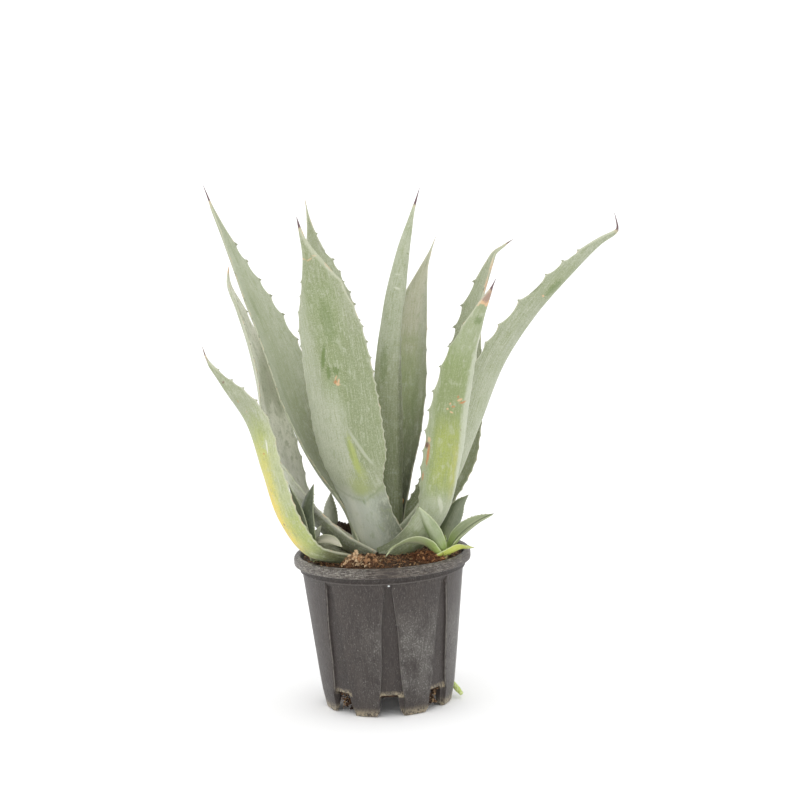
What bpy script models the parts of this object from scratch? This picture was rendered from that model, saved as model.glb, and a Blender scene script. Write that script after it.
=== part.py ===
"""Potted agave: ten long leaves and a few young offsets in a ribbed nursery pot.

Every piece is a closed solid in its own object. Lengths below are in millimetres and
are scaled to metres where the meshes are made. Pieces are laid out round the pot's axis,
with the pot's feet on Z = 0 and -Y as the front. The last step moves them all together so
that the Z axis runs through the middle of the whole object's box.
"""
import math

import bmesh
import bpy
from mathutils import Vector, noise

MM = 0.001

# pot
RIM_RADIUS = 85.0
RIM_TOP = 147.0
RIM_HEIGHT = 10.0
NECK_RADIUS = 78.5
BODY_TOP_RADIUS = 77.5
BODY_TOP = 131.0
FOOT_RADIUS = 61.5
FOOT_TOP = 18.0
FOOT_TOP_RADIUS = 65.0
WALL = 1.8
FLOOR_TOP = 18.0
FLOOR_THICKNESS = 2.2
GROOVES = 8
GROOVE_TURN = math.radians(1.5)
GROOVE_TOP_HALF = math.radians(1.6)
GROOVE_BOTTOM_HALF = math.radians(11.0)
GROOVE_DEPTH = 3.4
GROOVE_EDGE = math.radians(0.9)
DRAIN_HALF_TOP = 6.0
DRAIN_HALF_BOTTOM = 10.5
DRAIN_HEIGHT = 21.5
DRAIN_DEPTH = 9.0

# soil
FIT_GAP = 0.3
SOIL_EDGE = 141.5
SOIL_RISE = 9.0
SOIL_TOP = 165.0

# stem and the fit between crowded pieces
STEM_RADIUS = 13.0
STEM_LOW = 112.0
STEM_TOP = 158.0
CLEARANCE = 0.45

# leaf outline as a share of the leaf's greatest width, from base to tip
OUTLINE = ((0.0, 0.80), (0.12, 0.76), (0.20, 0.84), (0.35, 1.0), (0.48, 0.97), (0.60, 0.88), (0.70, 0.75),
           (0.80, 0.52), (0.87, 0.28), (0.92, 0.13), (0.95, 0.06), (1.0, 0.012))
# leaf thickness as a share of the thickness at the base
BODY = ((0.0, 1.0), (0.25, 0.72), (0.60, 0.50), (0.90, 0.33), (1.0, 0.12))

# Each leaf: midrib points from base to tip, the way it faces out from the plant's axis in
# degrees, greatest width, base thickness, and at base, middle and tip the half angle of its
# channel and its twist in degrees.
LEAVES = {
    "leaf_centre_spear": dict(
        midrib=((2, 1, 150), (4, -2, 206), (6, -3, 264), (9, -3, 322), (17, -2, 378), (30, 0, 430), (50, 3, 489)),
        faces=205, width=39, thickness=5, channel=(125, 132, 125), twist=(0, 0, 0)),
    "leaf_front_broad": dict(
        midrib=((-2, -12, 143), (-11, -28, 190), (-25, -42, 238), (-33, -56, 297), (-39, -68, 354),
                (-56, -82, 441), (-62, -86, 470)),
        faces=232, width=80, thickness=8, channel=(38, 25, 22), twist=(4, 8, 17)),
    "leaf_centre_right": dict(
        midrib=((3, 11, 150), (13, 24, 191), (23, 44, 247), (32, 62, 303), (40, 78, 361), (51, 88, 404), (64, 96, 438)),
        faces=72, width=51, thickness=7, channel=(52, 42, 43), twist=(-5, -1, -3)),
    "leaf_back_left": dict(
        midrib=((-5, 11, 148), (-12, 28, 201), (-23, 50, 258), (-34, 72, 325), (-44, 92, 388), (-56, 106, 437),
                (-63, 116, 480)),
        faces=118, width=63, thickness=8, channel=(47, 42, 31), twist=(1, 2, -8)),
    "leaf_left_tall": dict(
        midrib=((-11, 4, 150), (-26, 16, 189), (-51, 26, 227), (-75, 30, 283), (-94, 30, 341), (-115, 30, 395),
                (-133, 32, 442), (-155, 36, 501)),
        faces=146, width=64, thickness=8, channel=(33, 36, 20), twist=(1, -2, 15)),
    "leaf_right_bent_tip": dict(
        midrib=((9, 11, 148), (48, 32, 183), (74, 54, 223), (89, 72, 280), (95, 84, 328), (103, 94, 371),
                (115, 102, 407), (141, 108, 434)),
        faces=45, width=58, thickness=8, channel=(26, 33, 40), twist=(18, 6, -16)),
    "leaf_right_long": dict(
        midrib=((11, -5, 147), (41, -4, 176), (68, 0, 213), (92, 4, 265), (118, 8, 323), (152, 12, 369),
                (193, 16, 407), (224, 18, 435), (236, 18, 459)),
        faces=3, width=61, thickness=8, channel=(53, 45, 44), twist=(-21, -32, -29)),
    "leaf_left_channelled": dict(
        midrib=((-11, -13, 144), (-40, -15, 163), (-69, -6, 192), (-89, 12, 231), (-102, 34, 274), (-112, 50, 326),
                (-127, 58, 380), (-138, 60, 424)),
        faces=178, width=52, thickness=8, channel=(36, 36, 40), twist=(18, -28, -12)),
    "leaf_right_front": dict(
        midrib=((6, -18, 142), (30, -28, 157), (54, -36, 189), (65, -44, 239), (73, -52, 292), (84, -58, 339),
                (100, -64, 378), (114, -68, 407)),
        faces=322, width=52, thickness=8, channel=(80, 48, 41), twist=(-14, -26, -32)),
    "leaf_left_yellow": dict(
        midrib=((-13, -26, 139), (-38, -36, 149), (-68, -46, 161), (-88, -55, 191), (-102, -60, 238),
                (-115, -62, 288), (-136, -62, 322), (-154, -60, 352)),
        faces=200, width=54, thickness=8, channel=(46, 49, 59), twist=(-2, -2, 24)),
}

# young leaves of the offsets, in the same terms
OFFSET_LEAVES = {
    "offset_right_leaf_upright": dict(
        midrib=((57, -42, 150), (51, -50, 166), (44, -56, 184), (36, -60, 200)),
        faces=230, width=13, thickness=3.0, channel=(50, 30, 25), twist=(0, 10, 10)),
    "offset_right_leaf_long": dict(
        midrib=((62, -37, 150), (73, -41, 166), (90, -42, 179), (107, -40, 186)),
        faces=0, width=14, thickness=3.0, channel=(55, 50, 45), twist=(20, 25, 20)),
    "offset_right_leaf_arching": dict(
        midrib=((55, -46, 149), (43, -51, 162), (26, -59, 167), (11, -66, 163), (3, -70, 155)),
        faces=205, width=13, thickness=3.0, channel=(35, 25, 20), twist=(10, 25, 20)),
    "offset_right_leaf_yellow": dict(
        midrib=((51, -49, 149), (62, -46, 152), (75, -39, 154.5), (88, -31, 152.5)),
        faces=325, width=11, thickness=2.6, channel=(30, 20, 20), twist=(-10, -15, -10)),
    "offset_right_heart": dict(
        midrib=((58, -38, 148), (58, -38, 158), (60, -37, 168)),
        faces=90, width=11, thickness=2.2, channel=(110, 110, 90), twist=(0, 0, 0)),
    "offset_back_right_leaf": dict(
        midrib=((60, 20, 145), (65, 20, 160), (72, 20, 176), (80, 20, 193)),
        faces=300, width=18, thickness=3.0, channel=(45, 40, 30), twist=(-20, -25, -20)),
    "offset_back_right_small_leaf": dict(
        midrib=((59, 27, 145), (63, 28, 160), (68, 29, 174), (70, 30, 187)),
        faces=60, width=11, thickness=2.4, channel=(50, 45, 35), twist=(0, 0, 0)),
    "offset_left_leaf_dark": dict(
        midrib=((-63, -27, 150), (-67, -30, 170), (-67, -31, 194), (-59, -30, 219)),
        faces=205, width=17, thickness=3.0, channel=(50, 42, 30), twist=(10, 20, 30)),
    "offset_left_leaf_narrow": dict(
        midrib=((-66, -29, 151), (-73, -33, 172), (-78, -34, 198), (-84, -34, 221)),
        faces=210, width=11, thickness=2.6, channel=(45, 40, 30), twist=(10, 10, 10)),
    "offset_left_leaf_small": dict(
        midrib=((-61, -24, 150), (-63, -26, 162), (-60, -27, 172), (-56, -28, 180)),
        faces=300, width=10, thickness=2.4, channel=(45, 40, 30), twist=(0, 0, 0)),
    "offset_left_leaf_curled": dict(
        midrib=((-63, -32, 150), (-61, -38, 166), (-53, -41, 173), (-43, -43, 172), (-35, -46, 165)),
        faces=320, width=14, thickness=2.6, channel=(40, 30, 25), twist=(20, 25, 20)),
    "offset_back_left_leaf": dict(
        midrib=((-49, 33, 147), (-51, 35, 165), (-50, 37, 182), (-48, 38, 199)),
        faces=250, width=17, thickness=3.0, channel=(45, 35, 25), twist=(0, 0, 0)),
}

LEAF_SLOTS = {"leaf_left_yellow": "yellowed_leaf", "offset_right_leaf_yellow": "yellowed_leaf"}

STEMS = {
    "stem": ((0, 0, STEM_LOW), (0, -2, STEM_TOP), STEM_RADIUS),
    "offset_right_stem": ((56, -38, 128), (58, -40, 150), 4.5),
    "offset_left_stem": ((-58, -24, 128), (-62, -28, 150), 4.5),
    "rhizome_tip": ((58, 2, 18.5), (73, -8, 5), 1.9),
}

CRUMBS = {
    "coir_clump": ((-20, -62, 149), (17, 9, 8), 3),
    "peat_clod": ((-37, 26, 160), (12, 9, 16), 5),
    "bark_chip": ((20, 18, 190), (5.5, 4, 4), 8),
}

# name: colour, roughness, metallic
MATERIALS = {
    "leaf_skin": ((0.36, 0.42, 0.33), 0.55, 0.0),
    "yellowed_leaf": ((0.52, 0.55, 0.20), 0.50, 0.0),
    "young_leaf": ((0.30, 0.42, 0.18), 0.45, 0.0),
    "stem_tissue": ((0.62, 0.63, 0.46), 0.60, 0.0),
    "pot_plastic": ((0.070, 0.062, 0.060), 0.45, 0.0),
    "potting_soil": ((0.085, 0.055, 0.038), 0.95, 0.0),
    "coir_fibre": ((0.40, 0.24, 0.12), 0.90, 0.0),
    "bark": ((0.42, 0.22, 0.09), 0.80, 0.0),
}


def clear_scene():
    """Remove whatever the file starts with."""
    for obj in list(bpy.data.objects):
        bpy.data.objects.remove(obj, do_unlink=True)


def material(name):
    """The named plain material, made once."""
    found = bpy.data.materials.get(name)
    if found:
        return found
    colour, roughness, metallic = MATERIALS[name]
    made = bpy.data.materials.new(name)
    made.use_nodes = True
    shader = made.node_tree.nodes["Principled BSDF"]
    shader.inputs["Base Color"].default_value = (*colour, 1.0)
    shader.inputs["Roughness"].default_value = roughness
    shader.inputs["Metallic"].default_value = metallic
    made.diffuse_color = (*colour, 1.0)
    return made


def add_object(name, verts, faces, slot, origin=(0, 0, 0), smooth=True):
    """A mesh object from points in millimetres, with its origin at the given point."""
    start = Vector(origin)
    mesh = bpy.data.meshes.new(name)
    mesh.from_pydata([(Vector(v) - start) * MM for v in verts], [], faces)
    mesh.materials.append(material(slot))
    solid = bmesh.new()
    solid.from_mesh(mesh)
    bmesh.ops.recalc_face_normals(solid, faces=solid.faces)
    for face in solid.faces:
        face.smooth = smooth
    solid.to_mesh(mesh)
    solid.free()
    obj = bpy.data.objects.new(name, mesh)
    obj.location = start * MM
    bpy.context.scene.collection.objects.link(obj)
    bpy.context.view_layer.update()
    return obj


def stitch(rings):
    """Quads between rings of equal size, each ring closed, with a cap at both ends."""
    count = len(rings[0])
    faces = [tuple(reversed(range(count)))]
    for row in range(len(rings) - 1):
        low = row * count
        for col in range(count):
            step = (col + 1) % count
            faces.append((low + col, low + step, low + count + step, low + count + col))
    faces.append(tuple((len(rings) - 1) * count + i for i in range(count)))
    return [point for ring in rings for point in ring], faces


def ease(stations, t):
    """Smooth value at t between (station, value) pairs, with no overshoot."""
    for (t0, v0), (t1, v1) in zip(stations, stations[1:]):
        if t <= t1:
            s = (t - t0) / (t1 - t0)
            return v0 + (v1 - v0) * s * s * (3 - 2 * s)
    return stations[-1][1]


def lerp(stations, t):
    """Straight-line value at t between (station, value) pairs."""
    for (t0, v0), (t1, v1) in zip(stations, stations[1:]):
        if t <= t1:
            return v0 + (v1 - v0) * (t - t0) / (t1 - t0)
    return stations[-1][1]


def smooth_path(points, count):
    """A smooth curve through the points, as evenly spaced places and their directions."""
    knots = [Vector(p) for p in points]
    knots = [2 * knots[0] - knots[1]] + knots + [2 * knots[-1] - knots[-2]]
    fine = []
    for a, b, c, d in zip(knots, knots[1:], knots[2:], knots[3:]):
        gaps = [max((q - p).length, 1e-6) ** 0.5 for p, q in ((a, b), (b, c), (c, d))]
        leave = (c - b) + gaps[1] * ((b - a) / gaps[0] - (c - a) / (gaps[0] + gaps[1]))
        reach = (c - b) + gaps[1] * ((d - c) / gaps[2] - (d - b) / (gaps[1] + gaps[2]))
        for i in range(24):
            s = i / 24
            fine.append(b * (2 * s**3 - 3 * s**2 + 1) + leave * (s**3 - 2 * s**2 + s)
                        + c * (3 * s**2 - 2 * s**3) + reach * (s**3 - s**2))
    fine.append(knots[-2])
    lengths = [0.0]
    for p, q in zip(fine, fine[1:]):
        lengths.append(lengths[-1] + (q - p).length)
    places = []
    at = 0
    for i in range(count):
        goal = lengths[-1] * i / (count - 1)
        while at < len(fine) - 2 and lengths[at + 1] < goal:
            at += 1
        share = (goal - lengths[at]) / (lengths[at + 1] - lengths[at])
        places.append(fine[at].lerp(fine[at + 1], share))
    ahead = places[1:] + [places[-1]]
    behind = [places[0]] + places[:-1]
    return places, [(q - p).normalized() for p, q in zip(behind, ahead)]


def leaf_rings(midrib, faces, width, thickness, channel, twist, rows, across, grow=0.0):
    """Closed cross sections of a leaf: the inner face from edge to edge, then the back."""
    places, ways = smooth_path(midrib, rows)
    turn = math.radians(faces)
    side = Vector((-math.sin(turn), math.cos(turn), 0))
    stations = (0.0, 0.5, 1.0)
    rings = []
    for row, (place, way) in enumerate(zip(places, ways)):
        t = row / (rows - 1)
        flat = (side - way * side.dot(way)).normalized()
        inward = way.cross(flat)
        roll = math.radians(ease(tuple(zip(stations, twist)), t))
        flat, inward = (flat * math.cos(roll) + inward * math.sin(roll),
                        inward * math.cos(roll) - flat * math.sin(roll))
        half = math.radians(ease(tuple(zip(stations, channel)), t))
        wide = width * lerp(OUTLINE, t)
        radius = wide / (2 * half)
        deep = thickness * lerp(BODY, t)
        place = place + way * grow * {0: -1, rows - 1: 1}.get(row, 0)
        inner, back = [], []
        for step in range(across):
            u = 2 * step / (across - 1) - 1
            bend = half * u * (1 + 2 * grow / wide)
            point = place + flat * (radius * math.sin(bend)) + inward * (radius * (1 - math.cos(bend)))
            out = flat * math.sin(bend) - inward * math.cos(bend)
            inner.append(point - out * grow)
            back.append(point + out * (grow + deep * (0.14 + 0.86 * (1 - abs(u) ** 2.2))))
        rings.append(inner + back[::-1])
    return rings


def build_leaf(name, leaf, slot, rows, across, grow=0.0):
    """One leaf as a closed solid with its origin at its base."""
    verts, faces = stitch(leaf_rings(**leaf, rows=rows, across=across, grow=grow))
    return add_object(name, verts, faces, slot, origin=leaf["midrib"][0])


def build_rod(name, low, top, radius, slot, sides=14):
    """A short round stem with domed ends, between two points."""
    low, top = Vector(low), Vector(top)
    way = (top - low).normalized()
    right = way.orthogonal().normalized()
    ahead = way.cross(right)
    profile = ((-0.9, 0.25), (-0.55, 0.8), (0.0, 1.0), (1.0, 1.0), (1.55, 0.8), (1.9, 0.25))
    rings = []
    for along, share in profile:
        if along <= 0:
            centre = low + way * (along * radius * 0.5)
        else:
            centre = low.lerp(top, min(along, 1.0)) + way * (max(along - 1.0, 0) * radius * 0.5)
        ring = []
        for i in range(sides):
            turn = 2 * math.pi * i / sides
            ring.append(centre + (right * math.cos(turn) + ahead * math.sin(turn)) * radius * share)
        rings.append(ring)
    verts, faces = stitch(rings)
    return add_object(name, verts, faces, slot, origin=low)


def build_crumb(name, place, size, seed, slot):
    """A lump of fibre, peat or bark: a sphere pushed about by noise."""
    lump = bmesh.new()
    bmesh.ops.create_icosphere(lump, subdivisions=2, radius=1.0)
    for vert in lump.verts:
        rough = 1 + 0.28 * noise.noise(vert.co * 1.7 + Vector((seed, 0, 0)))
        vert.co = Vector(vert.co[i] * size[i] * rough for i in range(3)) + Vector(place)
    verts = [tuple(v.co) for v in lump.verts]
    faces = [tuple(v.index for v in f.verts) for f in lump.faces]
    lump.free()
    return add_object(name, verts, faces, slot, origin=place, smooth=False)


def wall_radius(height):
    """Outer radius of the pot's panels at a height."""
    if height <= FOOT_TOP:
        return FOOT_RADIUS + (FOOT_TOP_RADIUS - FOOT_RADIUS) * height / FOOT_TOP
    share = (height - FOOT_TOP) / (BODY_TOP - FOOT_TOP)
    return FOOT_TOP_RADIUS + (BODY_TOP_RADIUS - FOOT_TOP_RADIUS) * min(share, 1.0)


def pot_columns(height):
    """Angles of the wall's points at a height, with True where a point is down in a groove."""
    share = min(max(height / BODY_TOP, 0.0), 1.0)
    half = GROOVE_BOTTOM_HALF + (GROOVE_TOP_HALF - GROOVE_BOTTOM_HALF) * share
    sector = 2 * math.pi / GROOVES
    columns = []
    for groove in range(GROOVES):
        middle = groove * sector + GROOVE_TURN - math.pi / 2
        columns.append((middle, True))
        columns.append((middle + half, True))
        first, last = half + GROOVE_EDGE, sector - half - GROOVE_EDGE
        for i in range(4):
            columns.append((middle + first + (last - first) * i / 3, False))
        columns.append((middle + sector - half, True))
    return columns


def pot_ring(radius, height, inset=0.0, grooved=True):
    """One ring of wall points; inset moves it in from the outer face."""
    depth = GROOVE_DEPTH if grooved and height < BODY_TOP - 2 else 0.0
    ring = []
    for angle, low in pot_columns(height):
        reach = radius - inset - (depth if low else 0.0)
        ring.append(Vector((reach * math.cos(angle), reach * math.sin(angle), height)))
    return ring


def build_pot():
    """The pot: feet, grooved wall, collar, rolled rim, inner wall and raised floor."""
    heights = (0.0, FOOT_TOP, 75.0, BODY_TOP - 3)
    rings = [pot_ring(5.0, FLOOR_TOP - FLOOR_THICKNESS, grooved=False),
             pot_ring(wall_radius(FLOOR_TOP), FLOOR_TOP - FLOOR_THICKNESS, 2 * WALL),
             pot_ring(wall_radius(0), 0.0, 2 * WALL)]
    rings += [pot_ring(wall_radius(h), h) for h in heights]
    rim_low = RIM_TOP - RIM_HEIGHT
    lip = ((BODY_TOP_RADIUS + 0.2, BODY_TOP - 1), (NECK_RADIUS + 0.9, BODY_TOP + 0.5),
           (NECK_RADIUS + 0.9, BODY_TOP + 1.5), (NECK_RADIUS, BODY_TOP + 2.5), (NECK_RADIUS, rim_low),
           (RIM_RADIUS - 1.0, rim_low + 0.4), (RIM_RADIUS, rim_low + 2.5), (RIM_RADIUS, RIM_TOP - 3.5),
           (RIM_RADIUS - 1.5, RIM_TOP - 0.7), (RIM_RADIUS - 3.5, RIM_TOP), (RIM_RADIUS - 5.5, RIM_TOP - 0.8),
           (RIM_RADIUS - 6.8, RIM_TOP - 4))
    rings += [pot_ring(radius, height, grooved=False) for radius, height in lip]
    rings.append(pot_ring(BODY_TOP_RADIUS, BODY_TOP, WALL, grooved=False))
    rings += [pot_ring(wall_radius(h), h, WALL) for h in reversed(heights[2:])]
    rings.append(pot_ring(wall_radius(FLOOR_TOP), FLOOR_TOP, WALL))
    rings.append(pot_ring(5.0, FLOOR_TOP, grooved=False))
    verts, faces = stitch(rings)
    pot = add_object("pot", verts, faces, "pot_plastic", smooth=False)
    cutter = build_drain_cutter()
    cut(pot, [cutter], solver="EXACT")
    bpy.data.objects.remove(cutter, do_unlink=True)
    return pot


def build_drain_cutter():
    """Blocks that open the skirt between the feet and the corner of the floor above."""
    verts, faces = [], []
    inner = FOOT_TOP_RADIUS - GROOVE_DEPTH - DRAIN_DEPTH
    outer = FOOT_TOP_RADIUS + 6
    profile = ((DRAIN_HALF_BOTTOM, -1.0), (DRAIN_HALF_BOTTOM, 1.0), (DRAIN_HALF_TOP, 8.5),
               (DRAIN_HALF_TOP, DRAIN_HEIGHT))
    for groove in range(GROOVES):
        turn = groove * 2 * math.pi / GROOVES + GROOVE_TURN - math.pi / 2
        out = Vector((math.cos(turn), math.sin(turn), 0))
        side = Vector((-math.sin(turn), math.cos(turn), 0))
        rings = []
        for reach in (inner, outer):
            left = [out * reach - side * half + Vector((0, 0, z)) for half, z in profile]
            right = [out * reach + side * half + Vector((0, 0, z)) for half, z in reversed(profile)]
            rings.append(left + right)
        part_verts, part_faces = stitch(rings)
        base = len(verts)
        verts += part_verts
        faces += [tuple(base + i for i in face) for face in part_faces]
    return add_object("drain_cutter", verts, faces, "pot_plastic")


def build_soil():
    """The root ball: it follows the inside of the pot and is heaped at the middle."""
    gap = WALL + FIT_GAP + 0.15
    heights = (FLOOR_TOP + FIT_GAP, 75.0, BODY_TOP - 3)
    rings = [pot_ring(6.0, FLOOR_TOP + FIT_GAP, grooved=False)]
    rings += [pot_ring(wall_radius(h), h, gap) for h in heights]
    rings.append(pot_ring(BODY_TOP_RADIUS, BODY_TOP, gap + GROOVE_DEPTH, grooved=False))
    rings.append(pot_ring(BODY_TOP_RADIUS, BODY_TOP + 5, gap, grooved=False))
    rings.append(pot_ring(BODY_TOP_RADIUS, SOIL_EDGE, gap, grooved=False))
    for share in (0.93, 0.78, 0.6, 0.4, 0.15):
        ring = pot_ring(BODY_TOP_RADIUS * share, SOIL_EDGE, grooved=False)
        for point in ring:
            lump = noise.noise(Vector((point.x, point.y, 0)) * 0.09)
            point.z += SOIL_RISE * (1 - share**2) ** 0.7 + 1.6 * lump
        rings.append(ring)
    verts, faces = stitch(rings)
    return add_object("root_ball", verts, faces, "potting_soil", smooth=False)


def swollen(obj, amount):
    """A copy of an object grown outwards all over by an amount in millimetres."""
    copy = obj.copy()
    copy.data = obj.data.copy()
    copy.name = obj.name + "_room"
    bpy.context.scene.collection.objects.link(copy)
    solid = bmesh.new()
    solid.from_mesh(copy.data)
    solid.normal_update()
    moves = [v.normal * amount * MM * min(v.calc_shell_factor(), 1.6) for v in solid.verts]
    for vert, move in zip(solid.verts, moves):
        vert.co += move
    solid.to_mesh(copy.data)
    solid.free()
    bpy.context.view_layer.update()
    return copy


def cut(obj, tools, solver="MANIFOLD"):
    """Take the tools' shapes out of an object.

    The exact solver loses some of the thin leaf bases where they crowd round the stem, so
    the plant is cut with the manifold one. Its pieces are all closed, as that one needs.
    """
    for tool in tools:
        boolean = obj.modifiers.new("cut", "BOOLEAN")
        boolean.operation = "DIFFERENCE"
        boolean.solver = solver
        boolean.object = tool
        bpy.context.view_layer.update()
        result = bpy.data.meshes.new_from_object(obj.evaluated_get(bpy.context.evaluated_depsgraph_get()))
        obj.modifiers.clear()
        old = obj.data
        obj.data = result
        result.name = obj.name
        bpy.data.meshes.remove(old)
    keep_main_body(obj)


def keep_main_body(obj):
    """Drop the slivers that a cut leaves loose beside the main body."""
    solid = bmesh.new()
    solid.from_mesh(obj.data)
    bmesh.ops.remove_doubles(solid, verts=solid.verts, dist=0.002 * MM)
    bmesh.ops.dissolve_degenerate(solid, edges=solid.edges, dist=0.002 * MM)
    waiting = set(solid.faces)
    bodies = []
    while waiting:
        body = {waiting.pop()}
        border = list(body)
        while border:
            seams = [edge.link_faces for edge in border.pop().edges if len(edge.link_faces) == 2]
            beside = {face for pair in seams for face in pair} - body
            body |= beside
            border += beside
        waiting -= body
        bodies.append(body)
    bodies.sort(key=lambda body: sum(face.calc_area() for face in body))
    loose = [face for body in bodies[:-1] for face in body]
    bmesh.ops.delete(solid, geom=loose, context="FACES")
    solid.to_mesh(obj.data)
    solid.free()


def near(a, b):
    """Whether the boxes of two objects overlap."""
    boxes = []
    for obj in (a, b):
        corners = [obj.matrix_world @ v.co for v in obj.data.vertices]
        boxes.append([(min(c[i] for c in corners), max(c[i] for c in corners)) for i in range(3)])
    return all(boxes[0][i][0] < boxes[1][i][1] and boxes[1][i][0] < boxes[0][i][1] for i in range(3))


def settle(obj, own_room, rooms):
    """Cut an object clear of the rooms of the settled pieces, then add its own room."""
    cut(obj, [room for room in rooms if near(obj, room)])
    rooms.append(own_room)


def settle_leaves(leaves, rooms, rows, across):
    """Build leaves in turn, each cut clear of those before it."""
    for name, leaf in leaves.items():
        slot = LEAF_SLOTS.get(name, "leaf_skin" if leaves is LEAVES else "young_leaf")
        piece = build_leaf(name, leaf, slot, rows, across)
        room = build_leaf(name + "_room", leaf, slot, rows, across, grow=CLEARANCE)
        settle(piece, room, rooms)


def centre_over_origin():
    """Hang every piece on one empty, which stands the whole object's box over the origin."""
    pieces = [obj for obj in bpy.data.objects if obj.type == "MESH"]
    corners = [obj.matrix_world @ vert.co for obj in pieces for vert in obj.data.vertices]
    middle = [(min(c[i] for c in corners) + max(c[i] for c in corners)) / 2 for i in range(2)]
    frame = bpy.data.objects.new("whole_plant", None)
    frame.location = (-middle[0], -middle[1], 0)
    bpy.context.scene.collection.objects.link(frame)
    for piece in pieces:
        piece.parent = frame
    bpy.context.view_layer.update()


def main():
    """Build the pot, then the plant from the inside outwards, then the soil round it all."""
    clear_scene()
    build_pot()
    rooms = []
    for name, (low, top, radius) in STEMS.items():
        slot = "young_leaf" if name == "rhizome_tip" else "stem_tissue"
        rod = build_rod(name, low, top, radius, slot)
        settle(rod, swollen(rod, CLEARANCE), rooms)
    settle_leaves(LEAVES, rooms, rows=17, across=7)
    settle_leaves(OFFSET_LEAVES, rooms, rows=8, across=5)
    for name, (place, size, seed) in CRUMBS.items():
        slot = "bark" if name == "bark_chip" else "coir_fibre"
        crumb = build_crumb(name, place, size, seed, slot)
        settle(crumb, swollen(crumb, CLEARANCE), rooms)
    cut(build_soil(), [room for room in rooms if room.location.z < SOIL_TOP * MM])
    for room in rooms:
        bpy.data.objects.remove(room, do_unlink=True)
    centre_over_origin()


main()
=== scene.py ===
"""A young agave in a grooved nursery pot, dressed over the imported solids.

Metres, +Z up, -Y the plant's front. Tables are in millimetres round the pot's axis, with the
pot's feet on zero, and MM takes them to metres.
"""
import math
import random

import bpy
import numpy as np
from mathutils import Matrix, Vector, noise


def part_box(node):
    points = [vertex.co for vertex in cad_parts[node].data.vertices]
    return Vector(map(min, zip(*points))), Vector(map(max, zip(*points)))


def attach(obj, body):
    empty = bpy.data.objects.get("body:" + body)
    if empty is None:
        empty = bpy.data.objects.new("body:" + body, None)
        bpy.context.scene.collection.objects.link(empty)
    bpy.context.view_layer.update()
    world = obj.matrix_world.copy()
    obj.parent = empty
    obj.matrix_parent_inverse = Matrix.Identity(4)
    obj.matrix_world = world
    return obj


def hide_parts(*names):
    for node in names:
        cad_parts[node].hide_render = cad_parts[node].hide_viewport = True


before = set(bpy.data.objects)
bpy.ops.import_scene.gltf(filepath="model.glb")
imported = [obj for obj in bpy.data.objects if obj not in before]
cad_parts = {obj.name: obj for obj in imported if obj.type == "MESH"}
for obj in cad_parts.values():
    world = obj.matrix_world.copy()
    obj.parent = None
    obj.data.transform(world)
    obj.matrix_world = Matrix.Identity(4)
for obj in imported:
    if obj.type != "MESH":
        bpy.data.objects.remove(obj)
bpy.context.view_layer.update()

MM = 0.001
pot_low, pot_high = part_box("pot")
AXIS = np.array([(pot_low[0] + pot_high[0]) / 2, (pot_low[1] + pot_high[1]) / 2, 0.0])

# ---------------------------------------------------------------- leaf tables

def tapered(*tip):
    """An outline as places along a blade and widths there: a shared foot and belly, then its own tip."""
    belly = ((0, 0.78), (0.12, 0.76), (0.2, 0.83), (0.35, 1), (0.48, 0.97), (0.6, 0.88))
    return tuple(zip(*(belly + tip)))


# share of a blade's greatest width from its base to its tip
OUTLINE = tapered((0.7, 0.75), (0.8, 0.51), (0.87, 0.245), (0.92, 0.095), (0.955, 0.034), (1, 0.005))
# share of a blade's base thickness along its midrib
BODY = ((0, 0.25, 0.6, 0.9, 0.95, 1), (1, 0.72, 0.5, 0.36, 0.3, 0.06))
# where the channel's half angle and the twist are given: base, base, middle, tip, tip
STATIONS = (0, 0.15, 0.5, 0.85, 1)
# how far each margin is drawn out: distances from the tip, then the two sides
NO_PULL = ((0, 1), (0, 0), (0, 0))
YOUNG_TOOTH = 0.42  # size against the teeth of a grown leaf
YOUNG_TOOTH_GAP = 3.2

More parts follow.
